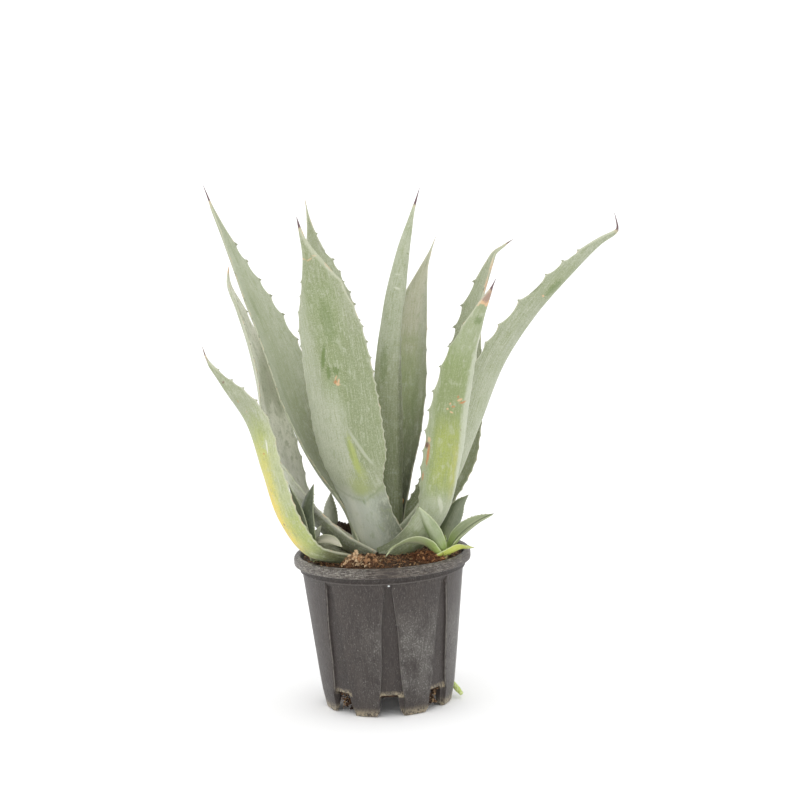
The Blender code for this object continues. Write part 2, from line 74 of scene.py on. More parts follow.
LEAVES = {
    "leaf_left_tall": dict(
        midrib=((-11, 4, 150), (-26, 16, 189), (-51, 26, 227), (-75, 30, 283), (-94, 30, 341),
                (-115, 30, 395), (-133, 32, 442), (-156, 36, 503)),
        faces=146, width=64, thickness=8, channel=(33, 36, 19), twist=(1, -2, 15), seed=1, hook=1.1,
        teeth=((64, 83, 104, 124, 146, 172), (90, 115)), scallop=0.12),
    "leaf_left_channelled": dict(
        midrib=((-11, -13, 144), (-40, -15, 163), (-69, -6, 192), (-89, 12, 231), (-102, 34, 274),
                (-113, 50, 326), (-129.5, 58, 380), (-138, 60, 404), (-138, 60, 422)),
        faces=178, width=50, thickness=8, channel=(36, 34, 40), twist=(18, -28, -12), seed=2, hook=0.7,
        pull=((0, 250, 285, 332), (0, 0, 9, 9), (0, 0, 0, 0)),
        outline=tapered((0.7, 0.76), (0.8, 0.56), (0.87, 0.36), (0.92, 0.21), (0.96, 0.1), (0.98, 0.05),
                        (1, 0.01)),
        teeth=((47, 70, 97, 124, 150, 178), (60, 80)), scallop=0.06),
    "leaf_front_broad": dict(
        midrib=((-2, -12, 143), (-11, -28, 190), (-25, -42, 238), (-33, -56, 297), (-39, -68, 354),
                (-56, -82, 442), (-62, -86, 472.5)),
        faces=232, width=82, thickness=8, channel=(31, 24, 22), twist=(8, 8, 17), seed=3, crimp=1.0,
        hook=0.75,
        pull=((0, 20, 42, 66, 90, 120, 190, 235, 262, 285, 300, 342),
              (0, 0, 0, 0, 0, 0, 0, -2, -3, 0, 0, 0), (0, 1, 7, 10, 5, 2, 0, -3, -9, -8, -6, 4)),
        outline=tapered((0.7, 0.75), (0.8, 0.43), (0.85, 0.23), (0.904, 0.09), (0.965, 0.03), (1, 0.005)),
        teeth=((60, 74, 89, 107, 124, 140, 156), (66, 89, 109, 122, 136)), scallop=0.06),
    "leaf_left_yellow": dict(
        midrib=((-13, -26, 139), (-38, -36, 149), (-68, -46, 161), (-88, -55, 191), (-102, -60, 238),
                (-115, -62, 288), (-137, -62, 323), (-152, -60, 346), (-155.5, -60, 357)),
        faces=200, width=54, thickness=8, channel=(46, 49, 59), twist=(-2, -2, 24), seed=4, hook=0.6,
        teeth=((14, 26, 40, 58, 79), (26, 41, 53, 68, 84)), scallop=0.07),
    "leaf_back_left": dict(
        midrib=((-5, 11, 148), (-12, 28, 201), (-23, 50, 258), (-34, 72, 325), (-44, 92, 388),
                (-56, 106, 437), (-63, 116, 484.5)),
        faces=118, width=63, thickness=8, channel=(47, 42, 31), twist=(1, 2, -8), seed=5, hook=0.75,
        teeth=((38, 68, 82, 103, 115, 132), (70, 92)), scallop=0.09),
    "leaf_centre_spear": dict(
        midrib=((2, 1, 150), (4, -2, 206), (6, -3, 264), (9, -3, 322), (17, -2, 378), (30, 0, 430),
                (50.5, 3, 492)),
        faces=240, width=43, thickness=5, channel=(95, 95, 100), twist=(-2, 1, 1), seed=6, hook=0.5,
        outline=((0, 0.2, 0.35, 0.48, 0.56, 0.62, 0.7, 0.8, 0.87, 0.92, 0.955, 1),
                 (0.9, 1, 1.03, 0.97, 0.84, 0.73, 0.68, 0.5, 0.29, 0.115, 0.04, 0.006)),
        teeth=((100, 122), (110, 131)), scallop=0.04),
    "leaf_centre_right": dict(
        midrib=((3, 11, 150), (13, 24, 191), (23, 44, 247), (32, 62, 303), (40, 78, 361), (51, 88, 405),
                (66, 96, 441.5)),
        faces=72, width=51, thickness=7, channel=(52, 42, 43), twist=(-5, -1, -3), seed=7, hook=0.6,
        teeth=((96, 118, 141, 163, 182), (75, 99)), scallop=0.05),
    "leaf_right_front": dict(
        midrib=((6, -18, 142), (30, -28, 157), (54, -36, 189), (65, -44, 239), (73, -52, 292),
                (84, -58, 339), (100, -64, 378), (115.5, -68, 409)),
        faces=322, width=50, thickness=8, channel=(84, 48, 41), twist=(-14, -26, -32), seed=8, hook=0.9,
        outline=tapered((0.7, 0.75), (0.8, 0.52), (0.87, 0.31), (0.92, 0.18), (0.95, 0.09), (0.97, 0.034),
                        (1, 0.005)),
        teeth=((52, 73, 93, 116, 133, 153, 173), (60, 80)), scallop=0.08),
    "leaf_right_bent_tip": dict(
        midrib=((9, 11, 148), (48, 32, 183), (74, 54, 223), (89, 72, 280), (95, 84, 328), (103, 94, 371),
                (113.2, 98, 398), (119.2, 100, 413), (124, 104, 422.5), (133, 107, 428.7),
                (143, 108, 434.5)),
        faces=45, width=57, thickness=8, channel=(24, 32, 40), twist=(18, 6, -16), seed=9, hook=1.15,
        outline=tapered((0.7, 0.76), (0.8, 0.53), (0.86, 0.345), (0.9, 0.22), (0.94, 0.09), (0.97, 0.04),
                        (1, 0.006)),
        teeth=((62, 84, 108), (57, 81, 101)), scallop=0.1),
    "leaf_right_long": dict(
        midrib=((11, -5, 147), (41, -4, 176), (68, 0, 213), (92, 4, 265), (118, 8, 323), (152, 12, 369),
                (192, 16, 409), (219.5, 18, 433), (234.5, 18, 442), (236.7, 18, 445.5), (234.7, 18, 460)),
        faces=3, width=60, thickness=8, channel=(55, 45, 46), twist=(-21, -32, -29), seed=10,
        outline=tapered((0.7, 0.78), (0.8, 0.57), (0.863, 0.35), (0.911, 0.19), (0.953, 0.085),
                        (0.962, 0.036), (1, 0.006)),
        teeth=((57, 75, 95, 129, 157, 177), (86, 109)), scallop=0.13, hook=0.65),
}


# young leaves of the offsets, in the same terms
YOUNG_OUTLINE = ((0, 0.15, 0.3, 0.45, 0.62, 0.78, 0.9, 0.97, 1),
                 (0.62, 0.78, 0.97, 1, 0.86, 0.58, 0.28, 0.1, 0.015))
YOUNG_LEAVES = {
    "offset_right_leaf_upright": dict(
        midrib=((57, -42, 150), (51, -50, 166), (44, -56, 184), (36, -60, 200)),
        faces=230, width=18, thickness=3.0, channel=(50, 30, 25), twist=(0, 10, 10)),
    "offset_right_leaf_long": dict(
        midrib=((62, -37, 150), (73, -41, 166), (90, -42, 179), (107, -40, 186)),
        faces=0, width=19, thickness=3.0, channel=(55, 50, 45), twist=(20, 25, 20)),
    "offset_right_leaf_arching": dict(
        midrib=((55, -46, 149), (43, -51, 162), (26, -59, 167), (11, -66, 163), (3, -70, 155)),
        faces=205, width=18, thickness=3.0, channel=(35, 25, 20), twist=(10, 25, 20)),
    "offset_right_leaf_yellow": dict(
        midrib=((51, -49, 149), (62, -46, 152), (75, -39, 154.5), (88, -31, 152.5)),
        faces=325, width=17, thickness=2.6, channel=(30, 20, 20), twist=(-10, -15, -10)),
    "offset_right_heart": dict(
        midrib=((58, -38, 148), (58, -38, 158), (60, -37, 168)),
        faces=90, width=13, thickness=2.2, channel=(110, 110, 90), twist=(0, 0, 0)),
    "offset_back_right_leaf": dict(
        midrib=((60, 20, 145), (65, 20, 160), (71, 20, 173), (76.5, 20, 184), (86, 20, 194)),
        faces=300, width=19, thickness=3.0, channel=(45, 40, 30), twist=(-20, -25, -20)),
    "offset_back_right_small_leaf": dict(
        midrib=((59, 27, 145), (63, 28, 160), (68, 29, 174), (70, 30, 187)),
        faces=60, width=11, thickness=2.4, channel=(50, 45, 35), twist=(0, 0, 0)),
    "offset_left_leaf_dark": dict(
        midrib=((-63, -27, 150), (-70, -30, 170), (-70.5, -31, 194), (-61, -30, 220)),
        faces=205, width=20, thickness=3.0, channel=(50, 42, 30), twist=(10, 20, 30)),
    "offset_left_leaf_narrow": dict(
        midrib=((-66, -29, 151), (-73, -33, 172), (-78, -34, 198), (-84, -34, 221)),
        faces=210, width=14, thickness=2.6, channel=(45, 40, 30), twist=(10, 10, 10)),
    "offset_left_leaf_small": dict(
        midrib=((-61, -24, 150), (-63, -26, 162), (-60, -27, 172), (-56, -28, 180)),
        faces=300, width=10, thickness=2.4, channel=(45, 40, 30), twist=(0, 0, 0)),
    "offset_left_leaf_curled": dict(
        midrib=((-64, -32, 149), (-64, -37, 160), (-57, -42, 167), (-46, -45, 167.5), (-36, -47, 161.5)),
        faces=320, width=17, thickness=2.6, channel=(40, 30, 25), twist=(20, 25, 20)),
    "offset_back_left_leaf": dict(
        midrib=((-49, 33, 147), (-51, 35, 165), (-50, 37, 182), (-48, 38, 199)),
        faces=250, width=17, thickness=3.0, channel=(45, 35, 25), twist=(0, 0, 0)),
}

# ---------------------------------------------------------------- leaf shapes

def flowing(stations, values, t):
    """Smooth values through the stations, never passing beyond a neighbour's value."""
    xs, ys = np.array(stations, float), np.array(values, float)
    gaps, slopes = np.diff(xs), np.diff(ys) / np.diff(xs)
    lean = np.zeros(len(xs))
    lean[0], lean[-1] = slopes[0], slopes[-1]
    for i in range(1, len(xs) - 1):
        if slopes[i - 1] * slopes[i] > 0:
            lean[i] = 2 * slopes[i - 1] * slopes[i] / (slopes[i - 1] + slopes[i])
    t = np.clip(t, xs[0], xs[-1])
    i = np.clip(np.searchsorted(xs, t, side="right") - 1, 0, len(gaps) - 1)
    s = (t - xs[i]) / gaps[i]
    return ((2 * s**3 - 3 * s**2 + 1) * ys[i] + (s**3 - 2 * s**2 + s) * gaps[i] * lean[i]
            + (3 * s**2 - 2 * s**3) * ys[i + 1] + (s**3 - s**2) * gaps[i] * lean[i + 1])


def smooth_path(points, count):
    """Evenly spaced places on a smooth curve through the points, and its length."""
    knots = np.array(points, float)
    knots = np.vstack([2 * knots[0] - knots[1], knots, 2 * knots[-1] - knots[-2]])
    s = np.linspace(0, 1, 60)[:, None]
    fine = []
    for a, b, c, d in zip(knots, knots[1:], knots[2:], knots[3:]):
        before, across, after = (max(np.linalg.norm(q - p) ** 0.5, 1e-6) for p, q in ((a, b), (b, c), (c, d)))
        leave = (c - b) + across * ((b - a) / before - (c - a) / (before + across))
        reach = (c - b) + across * ((d - c) / after - (d - b) / (across + after))
        fine.append((2 * s**3 - 3 * s**2 + 1) * b + (s**3 - 2 * s**2 + s) * leave
                    + (3 * s**2 - 2 * s**3) * c + (s**3 - s**2) * reach)
    fine = np.vstack(fine)
    run = np.concatenate([[0], np.cumsum(np.linalg.norm(np.diff(fine, axis=0), axis=1))])
    goals = np.linspace(0, run[-1], count)
    return np.stack([np.interp(goals, run, fine[:, k]) for k in range(3)], 1), run[-1]


def ripple(x, seed):
    """Slow uneven wander of about one, without a step."""
    return (np.sin(x + seed) + 0.6 * np.sin(2.17 * x + 1.7 * seed) + 0.4 * np.sin(3.9 * x + 2.3 * seed)) / 2


def margin_shift(from_tip, teeth, scallop):
    """How far the margin stands in from the plain outline: arcs that peak at each tooth."""
    shift = np.zeros_like(from_tip)
    for near, far in zip(teeth, teeth[1:]):
        part = (from_tip >= near) & (from_tip < far)
        share = (from_tip[part] - near) / (far - near)
        shift[part] = -4 * share * (1 - share) * scallop * (far - near)
    for tooth in teeth:
        shift += 0.5 * np.exp(-((from_tip - tooth) / 1.8) ** 2)
    return shift


def blade(leaf, rows, columns):
    """Places over a blade's inner face with what each needs: outward way, thickness, place on it."""
    places, length = smooth_path(leaf["midrib"], rows)
    t = np.linspace(0, 1, rows)
    way = np.gradient(places, axis=0)
    way /= np.linalg.norm(way, axis=1)[:, None]
    turn = math.radians(leaf["faces"])
    side = np.array([-math.sin(turn), math.cos(turn), 0])
    flat = side - (way @ side)[:, None] * way
    flat /= np.linalg.norm(flat, axis=1)[:, None]
    inward = np.cross(way, flat)
    a, b, c = leaf["twist"]
    roll = np.radians(flowing(STATIONS, (a, a, b, c, c), t))[:, None]
    flat, inward = flat * np.cos(roll) + inward * np.sin(roll), inward * np.cos(roll) - flat * np.sin(roll)
    a, b, c = leaf["channel"]
    half = np.radians(flowing(STATIONS, (a, a, b, c, c), t))[:, None]
    wide = leaf["width"] * flowing(*leaf.get("outline", OUTLINE), t)[:, None]
    from_tip = length * (1 - t)
    seed = leaf.get("seed", 0)
    u = np.linspace(-1, 1, columns)[None, :] * np.ones((rows, 1))
    u = np.sign(u) * (1 - (1 - np.abs(u)) ** 1.15)
    edge = np.clip((np.abs(u) - 0.72) / 0.28, 0, 1) ** 2
    shift = np.where(u < 0, *(margin_shift(from_tip, row, leaf["scallop"])[:, None] for row in leaf["teeth"]))
    stops, *sides = leaf.get("pull", NO_PULL)
    pull = np.where(u < 0, *(np.interp(from_tip, stops, reach)[:, None] for reach in sides))
    fade = np.clip(wide / 12, 0, 1)
    far = np.clip((np.abs(u) - 0.3) / 0.7, 0, 1) ** 1.5
    across = u * wide / 2 + np.sign(u) * (edge * shift * fade + far * pull)
    bend = across * 2 * half / wide
    radius = wide / (2 * half)
    crimp = (leaf.get("crimp", 0.7) * ripple(from_tip[:, None] / 19 + np.sign(u) * 2, seed + 3)
             * np.abs(u) ** 3 * fade)
    crimp = crimp + 0.35 * ripple(from_tip[:, None] / 31, seed) * ripple(across / 9, seed + 5) * fade
    out = flat[:, None] * np.sin(bend)[..., None] - inward[:, None] * np.cos(bend)[..., None]
    place = (places[:, None] + flat[:, None] * (radius * np.sin(bend))[..., None]
             + inward[:, None] * (radius * (1 - np.cos(bend)))[..., None] - out * crimp[..., None])
    deep = leaf["thickness"] * flowing(*BODY, t)[:, None]
    deep = np.minimum(deep, 0.75 * wide)
    thick = deep * (0.13 + 0.87 * (1 - np.abs(u) ** 2.2))
    margin = np.maximum(wide / 2 - np.abs(u) * wide / 2, 0)
    return dict(place=place, out=out, thick=thick, across=across, margin=margin,
                from_tip=from_tip[:, None] + 0 * u, way=way, length=length)


# ---------------------------------------------------------------- modelling helpers

def pick_only(*objs):
    """Leave edit mode and select these objects alone, the first of them active."""
    if bpy.context.mode != "OBJECT":
        bpy.ops.object.mode_set(mode="OBJECT")
    bpy.ops.object.select_all(action="DESELECT")
    for obj in objs:
        obj.select_set(True)
    bpy.context.view_layer.objects.active = objs[0] if objs else None


def new_piece(name):
    """The primitive that was just added, under its own name, selected alone."""
    piece = bpy.context.object
    piece.name = piece.data.name = name
    pick_only(piece)
    return piece


def settle(piece):
    """Fix a piece's place, turn and size into its mesh."""
    pick_only(piece)
    bpy.ops.object.transform_apply(location=True, rotation=True, scale=True)


def apply_modifier(piece, kind, **settings):
    """Add a modifier, set it and apply it."""
    pick_only(piece)
    modifier = piece.modifiers.new(kind.lower(), kind)
    for key, value in settings.items():
        setattr(modifier, key, value)
    bpy.ops.object.modifier_apply(modifier=modifier.name)


def close_seams(piece, gap=0.00002):
    """Merge doubles and turn every face outwards."""
    pick_only(piece)
    bpy.ops.object.mode_set(mode="EDIT")
    bpy.ops.mesh.select_all(action="SELECT")
    bpy.ops.mesh.remove_doubles(threshold=gap)
    bpy.ops.mesh.normals_make_consistent(inside=False)
    bpy.ops.object.mode_set(mode="OBJECT")


def points_of(piece):
    """All vertex places of a piece as one array."""
    flat = np.empty(len(piece.data.vertices) * 3)
    piece.data.vertices.foreach_get("co", flat)
    return flat.reshape(-1, 3)


def move_points(piece, places):
    """Put every vertex of a piece at its new place."""
    piece.data.vertices.foreach_set("co", np.asarray(places, float).ravel())
    piece.data.update()


def add_attribute(piece, name, values):
    """A number for each vertex that a finish can read."""
    layer = piece.data.attributes.new(name, "FLOAT", "POINT")
    layer.data.foreach_set("value", np.asarray(values, float).ravel())


def twin(source, name, matrix):
    """A copy of a finished piece with its own mesh, put in place."""
    copy = source.copy()
    copy.data = source.data.copy()
    copy.name = copy.data.name = name
    bpy.context.scene.collection.objects.link(copy)
    copy.data.transform(matrix)
    return copy


def merge_into(piece, parts):
    """Join parts to a piece, which keeps its name."""
    pick_only(piece, *parts)
    bpy.ops.object.join()
    return piece


def dress(piece, *finishes):
    """Give a piece its finishes, one slot each."""
    piece.data.materials.clear()
    for finish in finishes:
        piece.data.materials.append(finish)


# ---------------------------------------------------------------- finishes

class Signal:
    """A number that varies over a surface. Arithmetic on it adds the nodes that work it out."""

    def __init__(self, finish, socket):
        self.finish = finish
        self.socket = socket

    def join(self, operation, *terms):
        """A new signal worked out from the terms."""
        return self.finish.maths(operation, *terms)

    def __add__(self, other):
        return self.join("ADD", self, other)

    def __sub__(self, other):
        return self.join("SUBTRACT", self, other)

    def __rsub__(self, other):
        return self.join("SUBTRACT", other, self)

    def __mul__(self, other):
        return self.join("MULTIPLY", self, other)

    def __truediv__(self, other):
        return self.join("DIVIDE", self, other)

    def __pow__(self, other):
        return self.join("POWER", self, other)

    def __abs__(self):
        return self.join("ABSOLUTE", self)

    def most(self, other):
        """The larger of two signals."""
        return self.join("MAXIMUM", self, other)

    __radd__ = __add__
    __rmul__ = __mul__

    def rise(self, low, high):
        """Nothing up to low, one from high, and a soft slope between."""
        inputs = {"Value": self, "From Min": low, "From Max": high, "To Min": 0.0, "To Max": 1.0}
        node = self.finish.node("ShaderNodeMapRange", {"interpolation_type": "SMOOTHSTEP"}, inputs)
        return Signal(self.finish, node.outputs["Result"])

    def fall(self, low, high):
        """One up to low and nothing from high."""
        return 1 - self.rise(low, high)


class Finish:
    """A procedural material while it is being worked out."""

    def __init__(self, name, plain=()):
        self.material = bpy.data.materials.new(name)
        self.material.use_nodes = True
        self.tree = self.material.node_tree
        self.shader = self.tree.nodes["Principled BSDF"]
        self.colour = None
        for socket, value in dict(plain).items():
            self.shader.inputs[socket].default_value = value

    def node(self, kind, settings=(), inputs=()):
        """One node: its settings first, then the values or links of its sockets."""
        made = self.tree.nodes.new(kind)
        for key, value in dict(settings).items():
            setattr(made, key, value)
        for key, value in dict(inputs).items():
            self.feed(made.inputs[key], value)
        return made

    def feed(self, socket, value):
        """Link or set one socket."""
        if isinstance(value, Signal):
            value = value.socket
        if isinstance(value, bpy.types.NodeSocket):
            self.tree.links.new(value, socket)
        elif isinstance(value, tuple) and len(value) == 3 and socket.type == "RGBA":
            socket.default_value = (*value, 1.0)
        else:
            socket.default_value = value

    def maths(self, operation, *terms):
        """A Math node on signals and numbers."""
        node = self.node("ShaderNodeMath", {"operation": operation}, enumerate(terms))
        return Signal(self, node.outputs[0])

    def attribute(self, name):
        """A number carried by the piece's own mesh."""
        return Signal(self, self.node("ShaderNodeAttribute", {"attribute_name": name}).outputs["Fac"])

    def parts(self, vector):
        """The three numbers of a vector."""
        node = self.node("ShaderNodeSeparateXYZ", (), {0: vector})
        return [Signal(self, output) for output in node.outputs]

    def vector(self, x, y, z=0.0):
        """A vector from three numbers."""
        return self.node("ShaderNodeCombineXYZ", (), {0: x, 1: y, 2: z}).outputs[0]

    def noise(self, where, detail, rough=0.5):
        """Cloudy noise around one half, its grain one unit of the place."""
        inputs = {"Vector": where, "Scale": 1.0, "Detail": detail, "Roughness": rough}
        return Signal(self, self.node("ShaderNodeTexNoise", (), inputs).outputs[0])

    def cells(self, where):
        """Distance from scattered points, about one unit apart."""
        node = self.node("ShaderNodeTexVoronoi", (), {"Vector": where, "Scale": 1.0})
        return Signal(self, node.outputs["Distance"])

    def lay(self, share, tint):
        """Lay a tint over the colour so far by a share."""
        node = self.node("ShaderNodeMix", {"data_type": "RGBA"}, {0: share, 6: self.colour, 7: tint})
        self.colour = node.outputs[2]

    def finish(self, roughness, height=None, depth=0.0):
        """Wire up the shader and hand over the material: depth is the relief in metres."""
        self.feed(self.shader.inputs["Base Color"], self.colour)
        self.feed(self.shader.inputs["Roughness"], roughness)
        if height is not None:
            bump = self.node("ShaderNodeBump", (), {"Height": height, "Distance": depth, "Strength": 1.0})
            self.feed(self.shader.inputs["Normal"], bump.outputs[0])
        return self.material


BLOOM = (0.325, 0.350, 0.235)
SILVER = (0.420, 0.455, 0.330)
GREEN = (0.250, 0.295, 0.140)
DEEP = (0.130, 0.190, 0.050)
CHALK = (0.510, 0.530, 0.410)
WHITE = (0.660, 0.670, 0.560)
LILAC = (0.540, 0.530, 0.480)
BEIGE = (0.520, 0.490, 0.370)
OLIVE = (0.190, 0.225, 0.090)
LIME = (0.400, 0.460, 0.120)
YELLOW = (0.640, 0.580, 0.130)
GOLD = (0.800, 0.600, 0.070)
TAN = (0.640, 0.430, 0.250)
RUST = (0.480, 0.210, 0.080)
BROWN = (0.170, 0.095, 0.065)
SPINE = (0.140, 0.085, 0.090)
# painted shade: laid over leaf bases, creases and lower parts where shade falls between the leaves
PAINTED_SHADE = (0.085, 0.095, 0.055)
FERN = (0.205, 0.265, 0.100)
MIST = (0.470, 0.500, 0.375)
MOSS = (0.215, 0.260, 0.125)
FROST = (0.480, 0.515, 0.435)
# painted highlight: lightens the left of the front leaf's base where light falls on it
PAINTED_HIGHLIGHT = (0.600, 0.620, 0.540)
GRASS = (0.235, 0.295, 0.115)
SAP = (0.320, 0.370, 0.085)
# painted light: a pale strip along the right side of the front-right leaf, standing in for light on its
# turning keel
PAINTED_KEEL_LIGHT = (0.530, 0.560, 0.440)
MUD = (0.090, 0.088, 0.030)
UMBER = (0.150, 0.145, 0.085)
PLASTER = (0.930, 0.920, 0.810)
HERB = (0.290, 0.350, 0.150)
SCUFF = (0.600, 0.615, 0.495)

# What each face shows, in mm down from the tip and across from the midrib. A zone is (tint, share, down
# from, to and softness, across from, to and softness); without the last three it takes the whole width.
# A spot is (tint, share, across, down, half its width, half its length, turn in degrees if it has one).
ZONES = {
    "leaf_front_broad_outer": (
        (FERN, 0.72, 50, 186, 26, -12, 18, 8), (SILVER, 0.55, 20, 330, 14, -44, -16, 6),
        (MIST, 0.8, 168, 256, 20, -30, 6, 8), (MOSS, 0.8, 110, 246, 20, 10, 50, 7),
        (LIME, 0.18, 246, 272, 8, -6, 14, 6), (FROST, 0.95, 274, 360, 8, -44, 44, 4),
        (PAINTED_HIGHLIGHT, 0.6, 262, 360, 10, -23, -2, 7), (PAINTED_SHADE, 0.70, 276, 360, 12, 13, 60, 8),
        (OLIVE, 0.18, 12, 60, 16)),
    "leaf_right_front_outer": (
        (GRASS, 0.9, 60, 208, 24, -24, 12, 5), (OLIVE, 0.35, 98, 160, 14, -18, 2, 6),
        (SAP, 0.9, 142, 206, 16, -14, 9, 6), (SILVER, 0.38, 28, 76, 14, -30, 8, 5),
        (YELLOW, 0.25, 165, 225, 12, 2, 10, 3), (PAINTED_KEEL_LIGHT, 0.8, 48, 232, 12, 8, 40, 2.5),
        (SILVER, 0.8, 215, 262, 12, -18, 16, 6), (PAINTED_SHADE, 0.7, 264, 310, 12, -34, -8, 5),
        (SILVER, 0.5, 45, 240, 12, -30, -17, 3)),
    "leaf_left_yellow_outer": (
        (LIME, 0.85, 88, 300, 24, -30, 30, 4), (YELLOW, 0.9, 112, 216, 22, -14, 14, 6),
        (GOLD, 0.95, 146, 214, 18, -14, 8, 4), (OLIVE, 0.80, 214, 300, 12, 3, 40, 4),
        (CHALK, 0.45, 20, 170, 20, 14, 30, 4), (OLIVE, 0.65, 232, 400, 12),
        (MUD, 0.85, 226, 400, 8, 13, 40, 4), (PAINTED_SHADE, 0.75, 250, 400, 14)),
    "leaf_left_yellow_inner": (
        (BEIGE, 0.9, 185, 300, 14), (OLIVE, 0.5, 180, 300, 20, 6, 30, 6),
        (UMBER, 0.85, 226, 400, 12, -40, 2, 4)),
    "leaf_left_channelled_outer": (
        (CHALK, 0.55, 50, 130, 20, 9, 40, 2), (PAINTED_SHADE, 0.8, 236, 360, 20, -40, 21, 5),
        (LILAC, 0.7, 236, 296, 14, 17, 40, 1.5)),
    "leaf_left_channelled_inner": (
        (LILAC, 0.9, 200, 290, 50), (OLIVE, 0.22, 30, 130, 30, -9, 1, 4),
        (PLASTER, 0.97, 10, 190, 8, 6, 40, 3), (BROWN, 0.15, 40, 140, 20, -24, -8, 3)),
    "leaf_right_long_outer": (
        (GREEN, 0.7, 82, 114, 12, -14, 8, 6), (SILVER, 0.6, 190, 330, 60, -40, 40, 9),
        (GREEN, 0.45, 30, 110, 20, 2, 20, 5), (GREEN, 0.55, 300, 360, 20, -12, 20, 6)),
    "leaf_right_bent_tip_inner": (
        (SILVER, 0.35, 0, 120, 20), (OLIVE, 0.4, 120, 360, 20), (PAINTED_SHADE, 0.4, 270, 360, 20)),
    "leaf_right_bent_tip_outer": ((OLIVE, 0.3, 60, 360, 20), (GREEN, 0.6, 8, 30, 6, -20, 20, 4)),
    "leaf_centre_spear_outer": (
        (SILVER, 0.8, 0, 170, 40), (OLIVE, 0.30, 170, 400, 40, -40, 40, 9),
        (PAINTED_SHADE, 0.6, 120, 400, 40, 14, 20, 2.5), (PAINTED_SHADE, 0.30, 230, 400, 40, -40, 40, 9)),
    "leaf_centre_right_inner": (
        (LILAC, 0.45, 10, 110, 20, -30, -2, 5), (BEIGE, 0.55, 20, 130, 20, -8, 12, 5),
        (HERB, 0.60, 105, 250, 26, -10, 30, 7), (OLIVE, 0.25, 170, 400, 40, -40, 40, 9),
        (PAINTED_SHADE, 0.85, 205, 400, 60)),
    "leaf_back_left_inner": (
        (SILVER, 0.6, 46, 150, 20), (OLIVE, 0.35, 20, 400, 20, -9, 4, 4),
        (CHALK, 0.6, 0, 60, 12, -20, -4, 2)),
    "leaf_left_tall_inner": (
        (SILVER, 0.85, 30, 240, 40, -40, 40, 9), (GREEN, 0.35, 70, 250, 50, -8, 12, 9),
        (PAINTED_SHADE, 0.20, 235, 400, 40), (OLIVE, 0.22, 0, 60, 22)),
}
